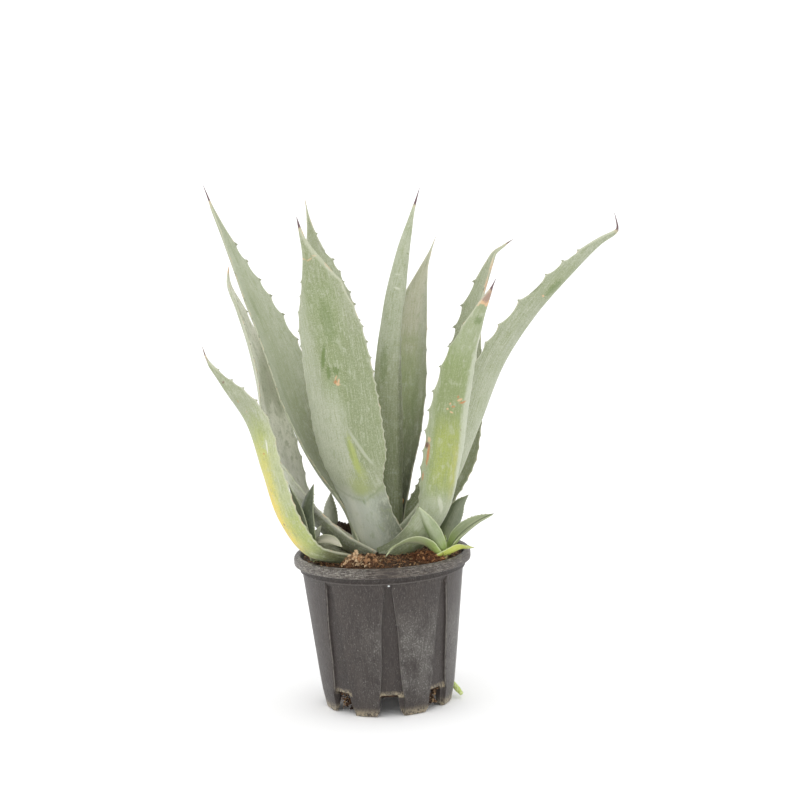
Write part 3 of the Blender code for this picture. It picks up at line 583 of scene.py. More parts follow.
SPOTS = {
    "leaf_front_broad_outer": (
        (DEEP, 0.85, -6.5, 133, 2.6, 15, 14), (DEEP, 0.75, -3, 147, 2.8, 8, 4),
        (DEEP, 0.75, 4.5, 145, 3.8, 5), (DEEP, 0.40, 5, 98, 7, 24), (RUST, 0.8, 2.6, 156, 2.2, 2.6),
        (TAN, 0.9, 4.8, 158, 2.4, 2.0), (TAN, 0.8, 3.4, 152, 0.8, 3.2, 30),
        (TAN, 1, 6, 155, 1.2, 3.0, 20), (TAN, 0.6, -2.5, 38, 3.2, 0.9, 20),
        (TAN, 0.6, 2.6, 39.5, 3.0, 0.9, -20), (TAN, 0.6, 7, 37.5, 2.6, 0.9, 20),
        (LIME, 0.72, 8.0, 229, 4.2, 24, -5), (DEEP, 0.30, 5.5, 222, 1.8, 18, -5),
        (CHALK, 0.60, 16, 222, 2.0, 26, -22), (LIME, 0.25, 11, 246, 6, 14, -8),
        (DEEP, 0.4, 3.8, 279, 1.4, 3), (LIME, 0.25, 4, 262, 10, 12), (PAINTED_SHADE, 0.75, 38, 312, 16, 42, 10),
        # painted highlight: a white spot on the left of the base; the dark spot before it is a painted shadow
        (WHITE, 0.45, -10, 300, 6, 34)),
    "leaf_right_front_outer": (
        (RUST, 0.9, 6.5, 122.5, 4.2, 1.4, -12), (TAN, 0.9, 3.0, 120, 3.0, 1.6, -20),
        (TAN, 0.9, -3, 132, 2.0, 1.0, 20), (TAN, 0.9, -5, 124, 0.9, 1.2),
        (RUST, 0.8, -2, 126.5, 1.8, 1.1), (TAN, 0.9, -6.6, 129, 1.2, 1.1), (RUST, 0.7, 1, 117, 1.1, 1.6),
        (RUST, 1, 20.5, 112, 1.0, 9, 4), (BROWN, 0.95, -21, 166, 3.0, 4.0),
        (TAN, 0.9, -19.5, 160, 2.0, 3.0), (RUST, 0.9, -18.8, 175, 1.3, 13), (RUST, 0.7, -21, 197, 1.1, 5),
        (BROWN, 0.5, 8, 150, 0.9, 1.1), (WHITE, 0.5, -3, 222, 2.2, 11, -18), (DEEP, 0.6, 0, 42, 4, 5),
        (WHITE, 0.5, 9, 60, 1.6, 14, -8)),
    "leaf_left_yellow_outer": (
        (WHITE, 0.95, 14, 107, 0.8, 8), (RUST, 0.8, 10, 113, 0.9, 1.3), (BROWN, 0.9, 0, 12, 1.2, 3.6),
        (BROWN, 0.7, 2, 38, 1.2, 1.6), (RUST, 0.4, 3, 60, 0.8, 2), (RUST, 0.35, 5, 72, 0.7, 1.2),
        (BROWN, 0.6, 7, 182, 1.4, 1.7), (TAN, 0.5, 3, 196, 2, 3), (RUST, 0.5, 0, 205, 1, 5)),
    "leaf_right_long_outer": (
        (DEEP, 0.6, -4, 98, 5.5, 13, 8), (TAN, 1, -8, 111, 1.7, 1.3), (LILAC, 0.7, 6, 101, 1.6, 6),
        (DEEP, 0.35, 3, 66, 3, 14), (TAN, 0.5, 9, 213, 0.8, 2)),
    "leaf_right_bent_tip_outer": (
        (TAN, 1, -7, 36, 3.4, 10), (TAN, 1, -11.5, 58, 3.6, 13, 4), (RUST, 0.5, -11, 58, 1.0, 8, 4),
        (CHALK, 0.9, -12.5, 80, 2.8, 20)),
    "leaf_right_bent_tip_inner": (
        (TAN, 1, -7.5, 34, 2.8, 11), (TAN, 1, -12.5, 60, 3.2, 13, 4), (CHALK, 0.9, -16, 76, 2.8, 18)),
    "leaf_centre_spear_outer": (
        (WHITE, 0.6, 4, 97, 3, 1.3, 12), (WHITE, 0.4, 2, 84, 3, 0.9, -12), (DEEP, 0.5, 6, 63, 2, 0.8, 20),
        (DEEP, 0.35, 1, 170, 4, 22)),
    "leaf_centre_right_inner": ((DEEP, 0.25, -10, 170, 5, 40),),
    "leaf_left_tall_inner": (
        (DEEP, 0.30, 3, 128, 3, 20), (DEEP, 0.25, -3, 72, 2.4, 18), (DEEP, 0.22, 12, 210, 4, 24)),
}
# length and tint of each terminal spine
TIPS = {
    "leaf_left_tall": (17, SPINE), "leaf_front_broad": (10, SPINE), "leaf_centre_spear": (17, SPINE),
    "leaf_left_yellow": (9, BROWN), "leaf_left_channelled": (6, TAN), "leaf_back_left": (4, BEIGE),
    "leaf_centre_right": (6, BEIGE), "leaf_right_front": (12, SPINE), "leaf_right_bent_tip": (8, BROWN),
    "leaf_right_long": (17, SPINE),
}
# a face's own ground tint, and how strongly its wax is scored
HUES = {
    "leaf_left_channelled_outer": (0.50, 0.515, 0.41),
    "leaf_back_left_inner": (0.375, 0.395, 0.290),
    "leaf_left_channelled_inner": (0.95, 0.94, 0.84),
    "leaf_right_front_outer": (0.275, 0.325, 0.165),
    "leaf_right_long_outer": (0.345, 0.375, 0.265),
    "leaf_centre_spear_outer": (0.335, 0.365, 0.240),
}
SCORING = {"leaf_front_broad_outer": 1.15, "leaf_left_channelled_inner": 0.65, "leaf_right_front_outer": 0.6,
           "leaf_right_long_outer": 1.1, "leaf_left_tall_inner": 0.75, "leaf_centre_right_inner": 0.7,
           "leaf_left_yellow_outer": 0.8, "leaf_right_bent_tip_inner": 1.3}


class Skin(Finish):
    """Waxy leaf skin: places on it are read as millimetres across and down from the tip."""

    def __init__(self, name, seed, plain=()):
        super().__init__(name, plain)
        where = self.node("ShaderNodeUVMap", {"uv_map": "blade"}).outputs[0]
        across, down, _ = self.parts(where)
        self.across = across * 100
        self.down = down * 100
        self.margin = self.attribute("margin")
        self.threads = self.noise(self.vector(self.across * 1.1, self.down * 0.045, seed), 3, 0.6)
        self.dashes = self.noise(self.vector(self.across * 0.75, self.down * 0.30, seed + 6), 4, 0.65)
        self.clouds = self.noise(self.vector(self.across * 0.05, self.down * 0.02, seed + 4), 3)
        self.mottle = self.noise(self.vector(self.across * 0.20, self.down * 0.09, seed + 9), 4, 0.6)
        self.grain = self.noise(self.vector(self.across * 0.75, self.down * 0.60, seed + 2), 4, 0.75)
        self.crackle = self.noise(self.vector(self.across * 1.5, self.down * 0.9, seed + 12), 5, 0.7)

    def zone(self, start, end, soft, left=-40, right=40, blur=4):
        """One inside a soft-edged field of the face."""
        down = self.down + (self.mottle - 0.5) * (soft * 1.6)
        across = self.across + (self.dashes - 0.5) * (blur * 1.6)
        share = down.rise(start - soft, start + soft) * down.fall(end - soft, end + soft)
        return share * across.rise(left - blur, left + blur) * across.fall(right - blur, right + blur)

    def spot(self, across, down, wide, long, turn=0):
        """One in the middle of a ragged patch, nothing outside it."""
        c, s = math.cos(math.radians(turn)), math.sin(math.radians(turn))
        x = self.across - across
        y = self.down - down
        a = (x * c + y * s) / wide
        b = (y * c - x * s) / long
        reach = (a * a + b * b) ** 0.5 + (self.grain - 0.5) * 1.6 + (self.dashes - 0.5) * 0.8
        return reach.fall(0.45, 1.1)


def leaf_skin(name, face, seed):
    """Bloom over green skin, rubbed in places, with its marks, painted shade and painted highlights, a pale
    rim and a horny tip.
    """
    key = f"{name}_{face}"
    skin = Skin(key, seed, {"Specular IOR Level": 0.4, "Sheen Weight": 0.06, "Sheen Roughness": 0.5})
    skin.colour = HUES.get(key, BLOOM)
    skin.lay(skin.clouds.rise(0.42, 0.62) * 0.45, GREEN)
    for tint, share, *field in ZONES.get(key, ()):
        skin.lay(skin.zone(*field) * share, tint)
    score = SCORING.get(key, 1.0)
    if key == "leaf_front_broad_outer":
        score = (1.0 - skin.down.rise(256, 268) * 0.8) * score
    rubbed = skin.mottle.rise(0.53, 0.66)
    skin.lay(rubbed * 0.40, GREEN)
    skin.lay(skin.mottle.fall(0.35, 0.47) * 0.35, CHALK)
    skin.lay(skin.threads.rise(0.51, 0.64) * 0.28 * score, CHALK)
    skin.lay(skin.threads.fall(0.36, 0.48) * 0.36 * score, OLIVE)
    skin.lay(skin.dashes.rise(0.54, 0.70) * 0.18 * score, WHITE)
    skin.lay(skin.dashes.fall(0.33, 0.45) * 0.30 * score, OLIVE)
    skin.lay(skin.grain.rise(0.53, 0.68) * 0.42 * score, SCUFF)
    skin.lay(skin.grain.fall(0.34, 0.47) * 0.45 * score, OLIVE)
    skin.lay(skin.crackle.rise(0.51, 0.63) * 0.24 * score, SCUFF)
    skin.lay(skin.crackle.fall(0.37, 0.49) * 0.26 * score, OLIVE)
    if name == "leaf_right_front":
        dry = skin.down + (skin.mottle - 0.5) * 14 + (skin.dashes - 0.5) * 9 + skin.across * 0.6
        skin.lay(dry.fall(26, 28), TAN)
        skin.lay(dry.fall(22, 24.5), (0.36, 0.25, 0.19))
    for tint, share, *field in SPOTS.get(key, ()):
        skin.lay(skin.spot(*field) * share, tint)
    if key == "leaf_front_broad_outer":
        line = abs(skin.down - (278 - abs(skin.across - 3.8) * 0.5) + (skin.mottle - 0.5) * 5)
        skin.lay(line.fall(0.2, 2.6) * 0.26 * skin.zone(255, 280, 6, -30, 30, 3), DEEP)
    rim = skin.margin + (skin.dashes - 0.5) * 1.6
    skin.lay(rim.fall(0.6, 1.7) * 0.5, (0.60, 0.61, 0.47))
    skin.lay((skin.margin + (skin.mottle - 0.5) * 7).fall(-1.2, 0.2) * 0.6, TAN)
    long, tint = TIPS[name]
    tip = skin.down + (skin.threads - 0.5) * 4
    skin.lay(tip.fall(long, long + 4) * 0.3, TAN)
    skin.lay(tip.fall(long - 2, long + 1), tint)
    roughness = 0.55 - rubbed * 0.12 + (skin.grain - 0.5) * 0.25
    height = skin.threads * 0.5 + skin.grain * 0.4 + skin.dashes * 0.4 + skin.mottle * 0.5
    return skin.finish(roughness, height, 0.0009)


LENGTHS = {name: smooth_path(leaf["midrib"], 40)[1] for name, leaf in {**LEAVES, **YOUNG_LEAVES}.items()}


# lighter and darker tint of each young leaf, then how green its foot is
YOUNG_HUES = {
    "offset_right_leaf_upright": ((0.50, 0.55, 0.38), (0.245, 0.315, 0.140), 0.8),
    "offset_right_leaf_long": ((0.34, 0.37, 0.24), (0.20, 0.245, 0.120), 0.8),
    "offset_right_leaf_arching": ((0.42, 0.45, 0.28), (0.245, 0.305, 0.115), 0.9),
    "offset_right_leaf_yellow": ((0.62, 0.66, 0.13), (0.46, 0.53, 0.08), 0.4),
    "offset_right_heart": ((0.46, 0.56, 0.18), (0.30, 0.41, 0.09), 0.6),
    "offset_back_right_leaf": ((0.30, 0.33, 0.22), (0.17, 0.20, 0.12), 0.3),
    "offset_back_right_small_leaf": ((0.24, 0.28, 0.17), (0.17, 0.20, 0.11), 0.3),
    "offset_left_leaf_dark": ((0.150, 0.175, 0.110), (0.060, 0.080, 0.042), 0.4),
    "offset_left_leaf_narrow": ((0.30, 0.32, 0.23), (0.14, 0.16, 0.10), 0.3),
    "offset_left_leaf_small": ((0.50, 0.52, 0.40), (0.34, 0.36, 0.27), 0.3),
    "offset_left_leaf_curled": ((0.48, 0.46, 0.36), (0.29, 0.29, 0.21), 0.1),
    "offset_back_left_leaf": ((0.33, 0.34, 0.26), (0.19, 0.21, 0.14), 0.2),
}


def young_skin(name, seed, shade=1.0):
    """Thinner skin of an offset: a paler middle, a light rim and a greener foot; shade scales every tint
    down, which paints a face as a shaded copy.
    """
    light, dark, foot = YOUNG_HUES[name]
    light, dark = (tuple(shade * part for part in tint) for tint in (light, dark))
    skin = Skin(name, seed, {"Specular IOR Level": 0.45})
    middle = abs(skin.across + (skin.threads - 0.5) * 2).fall(0.8, 4.5)
    skin.colour = dark
    skin.lay(skin.clouds.rise(0.4, 0.6) * 0.5 + middle * 0.5, light)
    skin.lay(skin.threads.rise(0.52, 0.66) * 0.5, light)
    skin.lay(skin.dashes.fall(0.34, 0.47) * 0.5, dark)
    skin.lay(skin.grain.rise(0.54, 0.66) * 0.35, light)
    skin.lay(skin.dashes.rise(0.58, 0.72) * 0.35, CHALK)
    skin.lay(skin.down.rise(LENGTHS[name] * 0.55, LENGTHS[name]) * foot, (0.34, 0.46, 0.12))
    skin.lay(skin.margin.fall(0.25, 0.9) * 0.6, (0.56, 0.60, 0.38))
    if name.endswith("_long"):
        skin.lay(abs(skin.across - 0.6).fall(0.2, 1.1) * 0.75, (0.06, 0.08, 0.04))
    if name.endswith("_arching"):
        skin.lay(skin.spot(-1.5, 8, 0.9, 1.1, 0) * 0.8, BROWN)
    skin.lay((skin.down + (skin.threads - 0.5) * 2).fall(0.8, 1.8) * 0.8, (0.12, 0.08, 0.05))
    return skin.finish(0.45 + (skin.grain - 0.5) * 0.2, skin.threads * 0.6 + skin.dashes * 0.3, 0.0004)


class Ground(Finish):
    """A finish that reads its place in millimetres from the pot's axis."""

    def __init__(self, name, plain=()):
        super().__init__(name, plain)
        x, y, z = self.parts(self.node("ShaderNodeTexCoord").outputs["Object"])
        self.x = x * 1000 - float(AXIS[0]) * 1000
        self.y = y * 1000 - float(AXIS[1]) * 1000
        self.z = z * 1000

    def cloud(self, level, upright, seed=0.0, detail=3, rough=0.55):
        """Noise with its own grain across and up."""
        where = self.vector(self.x * level + seed, self.y * level, self.z * upright)
        return self.noise(where, detail, rough)


def tooth_skin():
    """Teeth: the leaf's own green with a small brown point."""
    tooth = Finish("tooth_skin", {"Specular IOR Level": 0.4})
    reach = tooth.attribute("reach")
    tooth.colour = (0.31, 0.33, 0.22)
    tooth.lay(reach.rise(0.72, 0.98) * 0.8, (0.16, 0.085, 0.05))
    return tooth.finish(0.5)


# the wall's outer face without its grooves: radius at the floor plane, and how fast it grows upwards
WALL_START, WALL_LEAN = 63, 0.1106


def pot_plastic():
    """Dark grey plastic, scuffed upwards, dusty, with lime on the rim and dirt on the feet, painted shade on
    the groove floors, scuffs and painted highlights along the groove edges, a painted glare band on the right
    side and a painted glint at the front groove's top.
    """
    pot = Ground("pot_plastic", {"Specular IOR Level": 0.5, "Sheen Weight": 0.12, "Sheen Roughness": 0.45})
    radius = (pot.x * pot.x + pot.y * pot.y) ** 0.5
    inset = pot.z * WALL_LEAN + WALL_START - radius
    streaks = pot.cloud(0.5, 0.02, 3)
    fine = pot.cloud(1.6, 0.14, 9, 3, 0.7)
    dust = pot.cloud(0.07, 0.045, 21, 5, 0.65)
    grit = pot.cloud(0.8, 0.55, 33, 4, 0.75)
    pot.colour = (0.024, 0.0165, 0.0140)
    pot.lay(streaks.rise(0.40, 0.62), (0.034, 0.0255, 0.0220))
    pot.lay(dust.rise(0.42, 0.62) * 0.50, (0.050, 0.039, 0.033))
    pot.lay(fine.rise(0.52, 0.68) * 0.50, (0.125, 0.108, 0.094))
    scratches = pot.cloud(1.1, 0.03, 71, 3, 0.7)
    pot.lay(scratches.rise(0.56, 0.70) * grit.rise(0.40, 0.60) * 0.45, (0.170, 0.158, 0.145))
    pot.lay(fine.fall(0.32, 0.44) * 0.40, (0.024, 0.019, 0.017))
    # painted shade: the groove floors are darkened as shade in the recesses
    floor = inset.rise(2.0, 2.8) * pot.z.rise(20, 24) * pot.z.fall(124, 128)
    pot.lay(floor * 0.25, (0.022, 0.016, 0.014))
    facing = (pot.x * 0.616 - pot.y * 0.788) / radius
    scoured = (facing.rise(0.35, 1.0) * dust.rise(0.30, 0.62) * pot.z.rise(0, 40) * pot.z.fall(68, 120)
               * inset.fall(0.8, 1.6))
    pot.lay(scoured * 0.50, (0.120, 0.113, 0.103))
    pot.lay(scoured * grit.rise(0.50, 0.66) * 0.65, (0.330, 0.325, 0.300))
    pot.lay(grit.rise(0.57, 0.70) * 0.45, (0.240, 0.228, 0.208))
    # light lines along the groove edges: worn scuffs, with a painted highlight on the edges
    edge = inset.rise(0.25, 0.7) * inset.fall(1.0, 2.2) * pot.z.rise(18, 26) * pot.z.fall(120, 130)
    pot.lay(edge * fine.rise(0.32, 0.54) * 0.85, (0.270, 0.250, 0.225))
    specks = pot.cells(pot.vector(pot.x * 0.16, pot.y * 0.16, pot.z * 0.13)) + (grit - 0.5) * 0.12
    pot.lay(specks.fall(0.04, 0.10) * 0.35, (0.420, 0.410, 0.370))
    on_rim = pot.z.rise(136.6, 138)
    lime = pot.cloud(0.10, 0.95, 45, 4, 0.7)
    pot.lay(on_rim * 0.7, (0.028, 0.017, 0.011))
    combed = pot.cloud(0.16, 1.5, 83, 4, 0.7)
    pot.lay(on_rim * lime.rise(0.50, 0.68) * 0.40, (0.190, 0.156, 0.120))
    pot.lay(on_rim * lime.fall(0.36, 0.46) * 0.60, (0.026, 0.021, 0.019))
    left = (pot.x * -0.72 - pot.y * 0.69) / radius
    crust = left.rise(0.62, 0.98).most(facing.rise(0.80, 0.99) * 0.5)
    pot.lay(on_rim * crust * combed.rise(0.46, 0.64) * 0.55, (0.420, 0.405, 0.360))
    pot.lay(on_rim * crust * grit.rise(0.50, 0.64) * 0.40, (0.460, 0.445, 0.400))
    pot.lay(on_rim * combed.rise(0.52, 0.66) * 0.42, (0.280, 0.238, 0.188))
    pot.lay(pot.z.rise(130.2, 130.8) * pot.z.fall(131.2, 132) * 0.5, (0.170, 0.155, 0.138))
    # painted reflection: a pale band down the pot's right side stands in for glare from the white surround
    painted_glare = (pot.x * 0.97 + pot.y * 0.24) / radius
    pot.lay(painted_glare.rise(0.86, 0.99) * pot.z.fall(124, 134) * 0.80, (0.420, 0.410, 0.385))
    ledge = inset.rise(1.4, 2.6) * pot.z.rise(17, 19) * pot.z.fall(21, 26)
    dirt = pot.cloud(0.35, 0.30, 57, 4, 0.7)
    foot = (pot.z + (dirt - 0.5) * 16).fall(3, 10)
    pot.lay(ledge.most(foot) * dirt.rise(0.37, 0.60) * 0.85, (0.380, 0.320, 0.215))
    pot.lay(pot.z.fall(2, 18) * dirt.fall(0.34, 0.46) * 0.6, (0.070, 0.050, 0.032))
    # painted highlight: a small glint spot at the top of the front groove
    glint = ((pot.x - 5.6) ** 2 + ((pot.z - 129) * 1.3) ** 2) ** 0.5
    pot.lay(glint.fall(0.7, 1.5) * pot.y.fall(-60, -58) * 0.95, (0.80, 0.86, 0.86))
    roughness = 0.48 + (dust - 0.5) * 0.35 + fine * 0.12
    return pot.finish(roughness, fine * 0.5 + grit * 0.6 + dust * 0.6, 0.0007)


def soil_mix():
    """Moist dark mix with lighter fibres and crumbs."""
    soil = Ground("soil_mix", {"Specular IOR Level": 0.25})
    coarse = soil.cloud(0.18, 0.18, 5, 4, 0.65)
    crumbs = soil.cells(soil.vector(soil.x * 0.45, soil.y * 0.45, soil.z * 0.45))
    hairs = soil.cloud(1.1, 0.8, 9, 4, 0.75)
    soil.colour = (0.045, 0.026, 0.016)
    soil.lay(coarse.rise(0.35, 0.62), (0.130, 0.075, 0.042))
    soil.lay(crumbs.rise(0.25, 0.6) * 0.5, (0.030, 0.018, 0.012))
    soil.lay(hairs.rise(0.54, 0.70) * 0.7, (0.340, 0.195, 0.095))
    height = coarse * 0.8 + hairs * 0.5 + (1 - crumbs)
    return soil.finish(0.85 - hairs * 0.2, height, 0.0025)


def loose(name, dark, light, bright):
    """Crumbs and fibres: every piece has its own shade, broken up by fine grain."""
    bits = Ground(name, {"Specular IOR Level": 0.25})
    shade = bits.attribute("shade")
    grain = bits.cloud(1.4, 1.4, 3, 4, 0.7)
    bits.colour = dark
    bits.lay(shade.rise(0.0, 0.6), light)
    bits.lay(shade.rise(0.6, 1.0), bright)
    bits.lay(grain.fall(0.36, 0.5) * 0.6, dark)
    return bits.finish(0.8 + (grain - 0.5) * 0.3, grain, 0.0008)


def clod_finish(name, dark, middle, light):
    """A crumbly body: dark hollows, rusty sides and paler ridges."""
    clod = Ground(name, {"Specular IOR Level": 0.2})
    lumps = clod.cloud(0.28, 0.28, 7, 5, 0.7)
    hairs = clod.cloud(0.9, 1.3, 15, 4, 0.75)
    clod.colour = dark
    clod.lay(lumps.rise(0.38, 0.56), middle)
    clod.lay(hairs.rise(0.50, 0.66), light)
    clod.lay(hairs.fall(0.32, 0.44) * 0.8, dark)
    return clod.finish(0.9 - hairs * 0.2, lumps + hairs * 0.7, 0.0018)


def stem_tissue(name, low, high):
    """Pale fibrous stem with greener streaks."""
    stem = Ground(name, {"Specular IOR Level": 0.35})
    streaks = stem.cloud(0.8, 0.05, 5, 3, 0.6)
    spots = stem.cloud(0.5, 0.4, 19, 3, 0.6)
    stem.colour = low
    stem.lay(streaks.rise(0.4, 0.6), high)
    stem.lay(spots.rise(0.58, 0.70) * 0.5, (0.35, 0.24, 0.13))
    return stem.finish(0.6 + (spots - 0.5) * 0.3, streaks, 0.0006)


# ---------------------------------------------------------------- leaves

def model_tooth():
    """A short hooked tooth one unit long on a broad foot: it points along +X, its hook towards -Z."""
    bpy.ops.mesh.primitive_circle_add(vertices=7, radius=0.5, fill_type="NGON", rotation=(0, math.pi / 2, 0))
    tooth = new_piece("tooth")
    settle(tooth)
    bpy.ops.object.mode_set(mode="EDIT")
    bpy.ops.mesh.select_all(action="SELECT")
    centre = Vector((0, 0, 0))
    for step, share in (((0.3, 0, -0.02), 0.68), ((0.3, 0, -0.08), 0.58), ((0.25, 0, -0.12), 0.5)):
        bpy.ops.mesh.extrude_region_move(TRANSFORM_OT_translate={"value": step})
        centre += Vector(step)
        bpy.ops.transform.resize(value=(share,) * 3, center_override=centre)
    bpy.ops.mesh.extrude_region_move(TRANSFORM_OT_translate={"value": (0.12, 0, -0.10)})
    bpy.ops.mesh.merge(type="CENTER")
    bpy.ops.object.mode_set(mode="OBJECT")
    close_seams(tooth, 0.001)
    add_attribute(tooth, "reach", np.clip(points_of(tooth)[:, 0], 0, 1))
    bpy.ops.object.shade_smooth()
    return tooth


def tooth_places(listed, length, gap=17.0):
    """Distances from the tip: the listed teeth, then more and closer ones towards the foot."""
    places = list(listed)
    gap = min(gap, places[-1] - places[-2])
    while places[-1] + gap < length - 42:
        places.append(places[-1] + gap * (1 + 0.14 * math.sin(places[-1])))
        gap = max(gap * 0.94, 10)
    return places


def build_leaf(name, leaf, finishes, tooth, tooth_finish, tooth_size=1.0, step=1.35, columns=29):
    """One leaf: a flat grid bent to its blade, given its thickness, then set with teeth."""
    length = LENGTHS[name]
    if leaf.get("teeth"):
        teeth = [tooth_places(side, length) for side in leaf["teeth"]]
    else:
        teeth = [np.arange(length * 0.12, length * 0.8, YOUNG_TOOTH_GAP)] * 2
    form = dict(leaf, teeth=teeth, scallop=leaf.get("scallop", 0.05))
    rows = int(length / step)
    bpy.ops.mesh.primitive_grid_add(x_subdivisions=columns - 1, y_subdivisions=rows - 1, size=2)
    piece = new_piece(name + "_blade")
    grid = points_of(piece)
    order = np.lexsort((grid[:, 0], grid[:, 1]))
    sheet = blade(form, rows, columns)
    places = np.empty_like(grid)
    places[order] = (sheet["place"] * MM + AXIS).reshape(-1, 3)
    across, down, margin, thick = (np.empty(len(grid)) for _ in range(4))
    for target, key in ((across, "across"), (down, "from_tip"), (margin, "margin"), (thick, "thick")):
        target[order] = sheet[key].ravel()
    move_points(piece, places)
    face_inwards(piece, order, sheet)
    piece.data.uv_layers.active.name = "blade"
    corners = np.empty(len(piece.data.loops), int)
    piece.data.loops.foreach_get("vertex_index", corners)
    flat = np.stack([across[corners], down[corners]], 1) / 100
    piece.data.uv_layers["blade"].uv.foreach_set("vector", flat.ravel())
    add_attribute(piece, "margin", margin)
    group = piece.vertex_groups.new(name="thickness")
    deepest = thick.max()
    for index, value in enumerate(thick / deepest):
        group.add((index,), float(value), "REPLACE")
    dress(piece, *finishes)
    apply_modifier(piece, "SOLIDIFY", thickness=deepest * MM, offset=-1, vertex_group="thickness",
                   material_offset=1, material_offset_rim=1, use_even_offset=False)
    piece.vertex_groups.clear()
    bpy.ops.object.shade_smooth()
    set_teeth(piece, name, sheet, teeth, tooth, tooth_finish, tooth_size)
    return piece


def face_inwards(piece, order, sheet):
    """Turn the grid's faces so that they look in towards the channel."""
    first = piece.data.polygons[len(piece.data.polygons) // 2]
    rank = np.empty(len(order), int)
    rank[order] = np.arange(len(order))
    out = sheet["out"].reshape(-1, 3)[rank[first.vertices[0]]]
    if Vector(out).dot(first.normal) > 0:
        pick_only(piece)
        bpy.ops.object.mode_set(mode="EDIT")
        bpy.ops.mesh.select_all(action="SELECT")
        bpy.ops.mesh.flip_normals()
        bpy.ops.object.mode_set(mode="OBJECT")


def set_teeth(piece, name, sheet, teeth, tooth, tooth_finish, tooth_size):
    """Stand a tooth on each peak of both margins."""
    chance = random.Random(name)
    down = sheet["from_tip"][:, 0]
    copies = []
    for side, (edge, inner) in enumerate(((0, 1), (-1, -2))):
        for distance in teeth[side]:
            row = int(np.abs(down - distance).argmin())
            out = sheet["place"][row, edge] - sheet["place"][row, inner]
            out /= np.linalg.norm(out)
            tipward = sheet["way"][row]
            across = np.cross(tipward, out)
            dwindled = min(1.0, max(0.4, 1.5 - 1.7 * distance / sheet["length"]))
            size = tooth_size * chance.uniform(0.8, 1.2) * dwindled
            skin = sheet["out"][row, edge] * sheet["thick"][row, edge] / 2
            foot = sheet["place"][row, edge] + skin - out * 0.8 * tooth_size
            turned = np.stack([out * size * 2.7, across * size * 1.5, tipward * size * 3.8], 1) * MM
            matrix = Matrix([(*turned[i], foot[i] * MM + AXIS[i]) for i in range(3)] + [(0, 0, 0, 1)])
            copies.append(twin(tooth, f"{name}_tooth", matrix))
    for copy in copies:
        dress(copy, tooth_finish)
    merge_into(piece, copies)


def finish_piece(piece, slot, *nodes):
    """Put a piece on the root body: it rides on the root and stands for its CAD nodes, which are hidden."""
    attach(piece, "root")
    if nodes:
        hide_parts(*nodes)


def build_big_leaves(tooth, tooth_finish):
    """The ten grown leaves."""
    for index, (name, leaf) in enumerate(LEAVES.items()):
        inner = leaf_skin(name, "inner", index * 7 + 1)
        outer = leaf_skin(name, "outer", index * 7 + 4)
        piece = build_leaf(name, leaf, (inner, outer), tooth, tooth_finish, leaf["hook"])
        finish_piece(piece, "yellowed_leaf" if name == "leaf_left_yellow" else "leaf_skin", name)


def build_young_leaves(tooth, tooth_finish):
    """The leaves of the offsets."""
    for index, (name, leaf) in enumerate(YOUNG_LEAVES.items()):
        inner = young_skin(name, index * 5 + 2)
        # painted shade: the outer face is the same skin painted darker
        outer = young_skin(name, index * 5 + 3, 0.85)
        form = dict(leaf, outline=YOUNG_OUTLINE, crimp=0.2)
        piece = build_leaf(name, form, (inner, outer), tooth, tooth_finish, YOUNG_TOOTH, 0.8, 15)
        finish_piece(piece, "yellowed_leaf" if name.endswith("yellow") else "young_leaf", name)


# ---------------------------------------------------------------- pot

GROOVES, PITCH = 8, 45  # how many, and the degrees from one to the next
FIRST_GROOVE, FIRST_DRAIN = -86.5, -88.5  # degrees round the axis
COLUMNS = 42  # columns of faces from one groove to the next
FLOOR_COLUMNS, SIDE_COLUMNS = 4, 7  # columns from a groove's middle to the edge of its floor and to its rim
SIDE_TURN = 0.6  # degrees that a groove's side takes up
GROOVE_DEPTH = 3.4
GROOVE_HALF = ((18, 28, 47, 67, 86, 106, 127), (10.5, 9, 7.3, 6.6, 6, 4.2, 2.4))  # heights, then degrees
WALL_OUT, WALL_IN = 65, 63.2  # the wall's two radii at its foot
WALL_FOOT, WALL_RISE, WALL_FLARE = 18, 113, 12.5
UNDERSIDE = [(0, 15.8), (30, 15.8), (52, 15.8), (57.9, 15.8), (57.9, 8), (57.9, 0.5), (58.4, 0), (61, 0),
             (61.5, 0.5), (63.2, 9)]
RIM = [(78.2, 131.1), (79.3, 131.4), (79.4, 132.4), (78.7, 133.4), (78.5, 135), (78.6, 137), (79.2, 137.4),
       (83.6, 137.5), (84.7, 138.2), (85, 139.5), (85, 143.2), (84.6, 144.8), (83.6, 146.2), (82.2, 146.9),
       (80.8, 147), (79.4, 146.5), (78.5, 145.2), (78.1, 143), (77.0, 137), (76.2, 133)]
POT_FLOOR = [(50, 18), (25, 18), (0, 18)]
HALF_ARCH = [(15, -2), (12.4, 0.6), (10.6, 3.5), (9.4, 7), (8.7, 11), (8.3, 19.6), (7.2, 21)]  # of a drain


def turned(name, profile, steps, start=0.0):
    """A line of (radius, height) drawn point by point, then spun round the axis."""
    bpy.ops.mesh.primitive_plane_add(size=0.002)
    piece = new_piece(name)
    bpy.ops.object.mode_set(mode="EDIT")
    bpy.ops.mesh.select_all(action="SELECT")
    bpy.ops.mesh.merge(type="CENTER")
    turn = math.radians(start)
    line = [Vector((r * math.cos(turn), r * math.sin(turn), z)) * MM for r, z in profile]
    bpy.ops.transform.translate(value=line[0])
    for here, there in zip(line, line[1:]):
        bpy.ops.mesh.extrude_region_move(TRANSFORM_OT_translate={"value": there - here})
    bpy.ops.mesh.select_all(action="SELECT")
    bpy.ops.mesh.spin(steps=steps, angle=math.tau, center=(0, 0, 0), axis=(0, 0, 1))
    bpy.ops.object.mode_set(mode="OBJECT")
    close_seams(piece, 0.00001)
    return piece


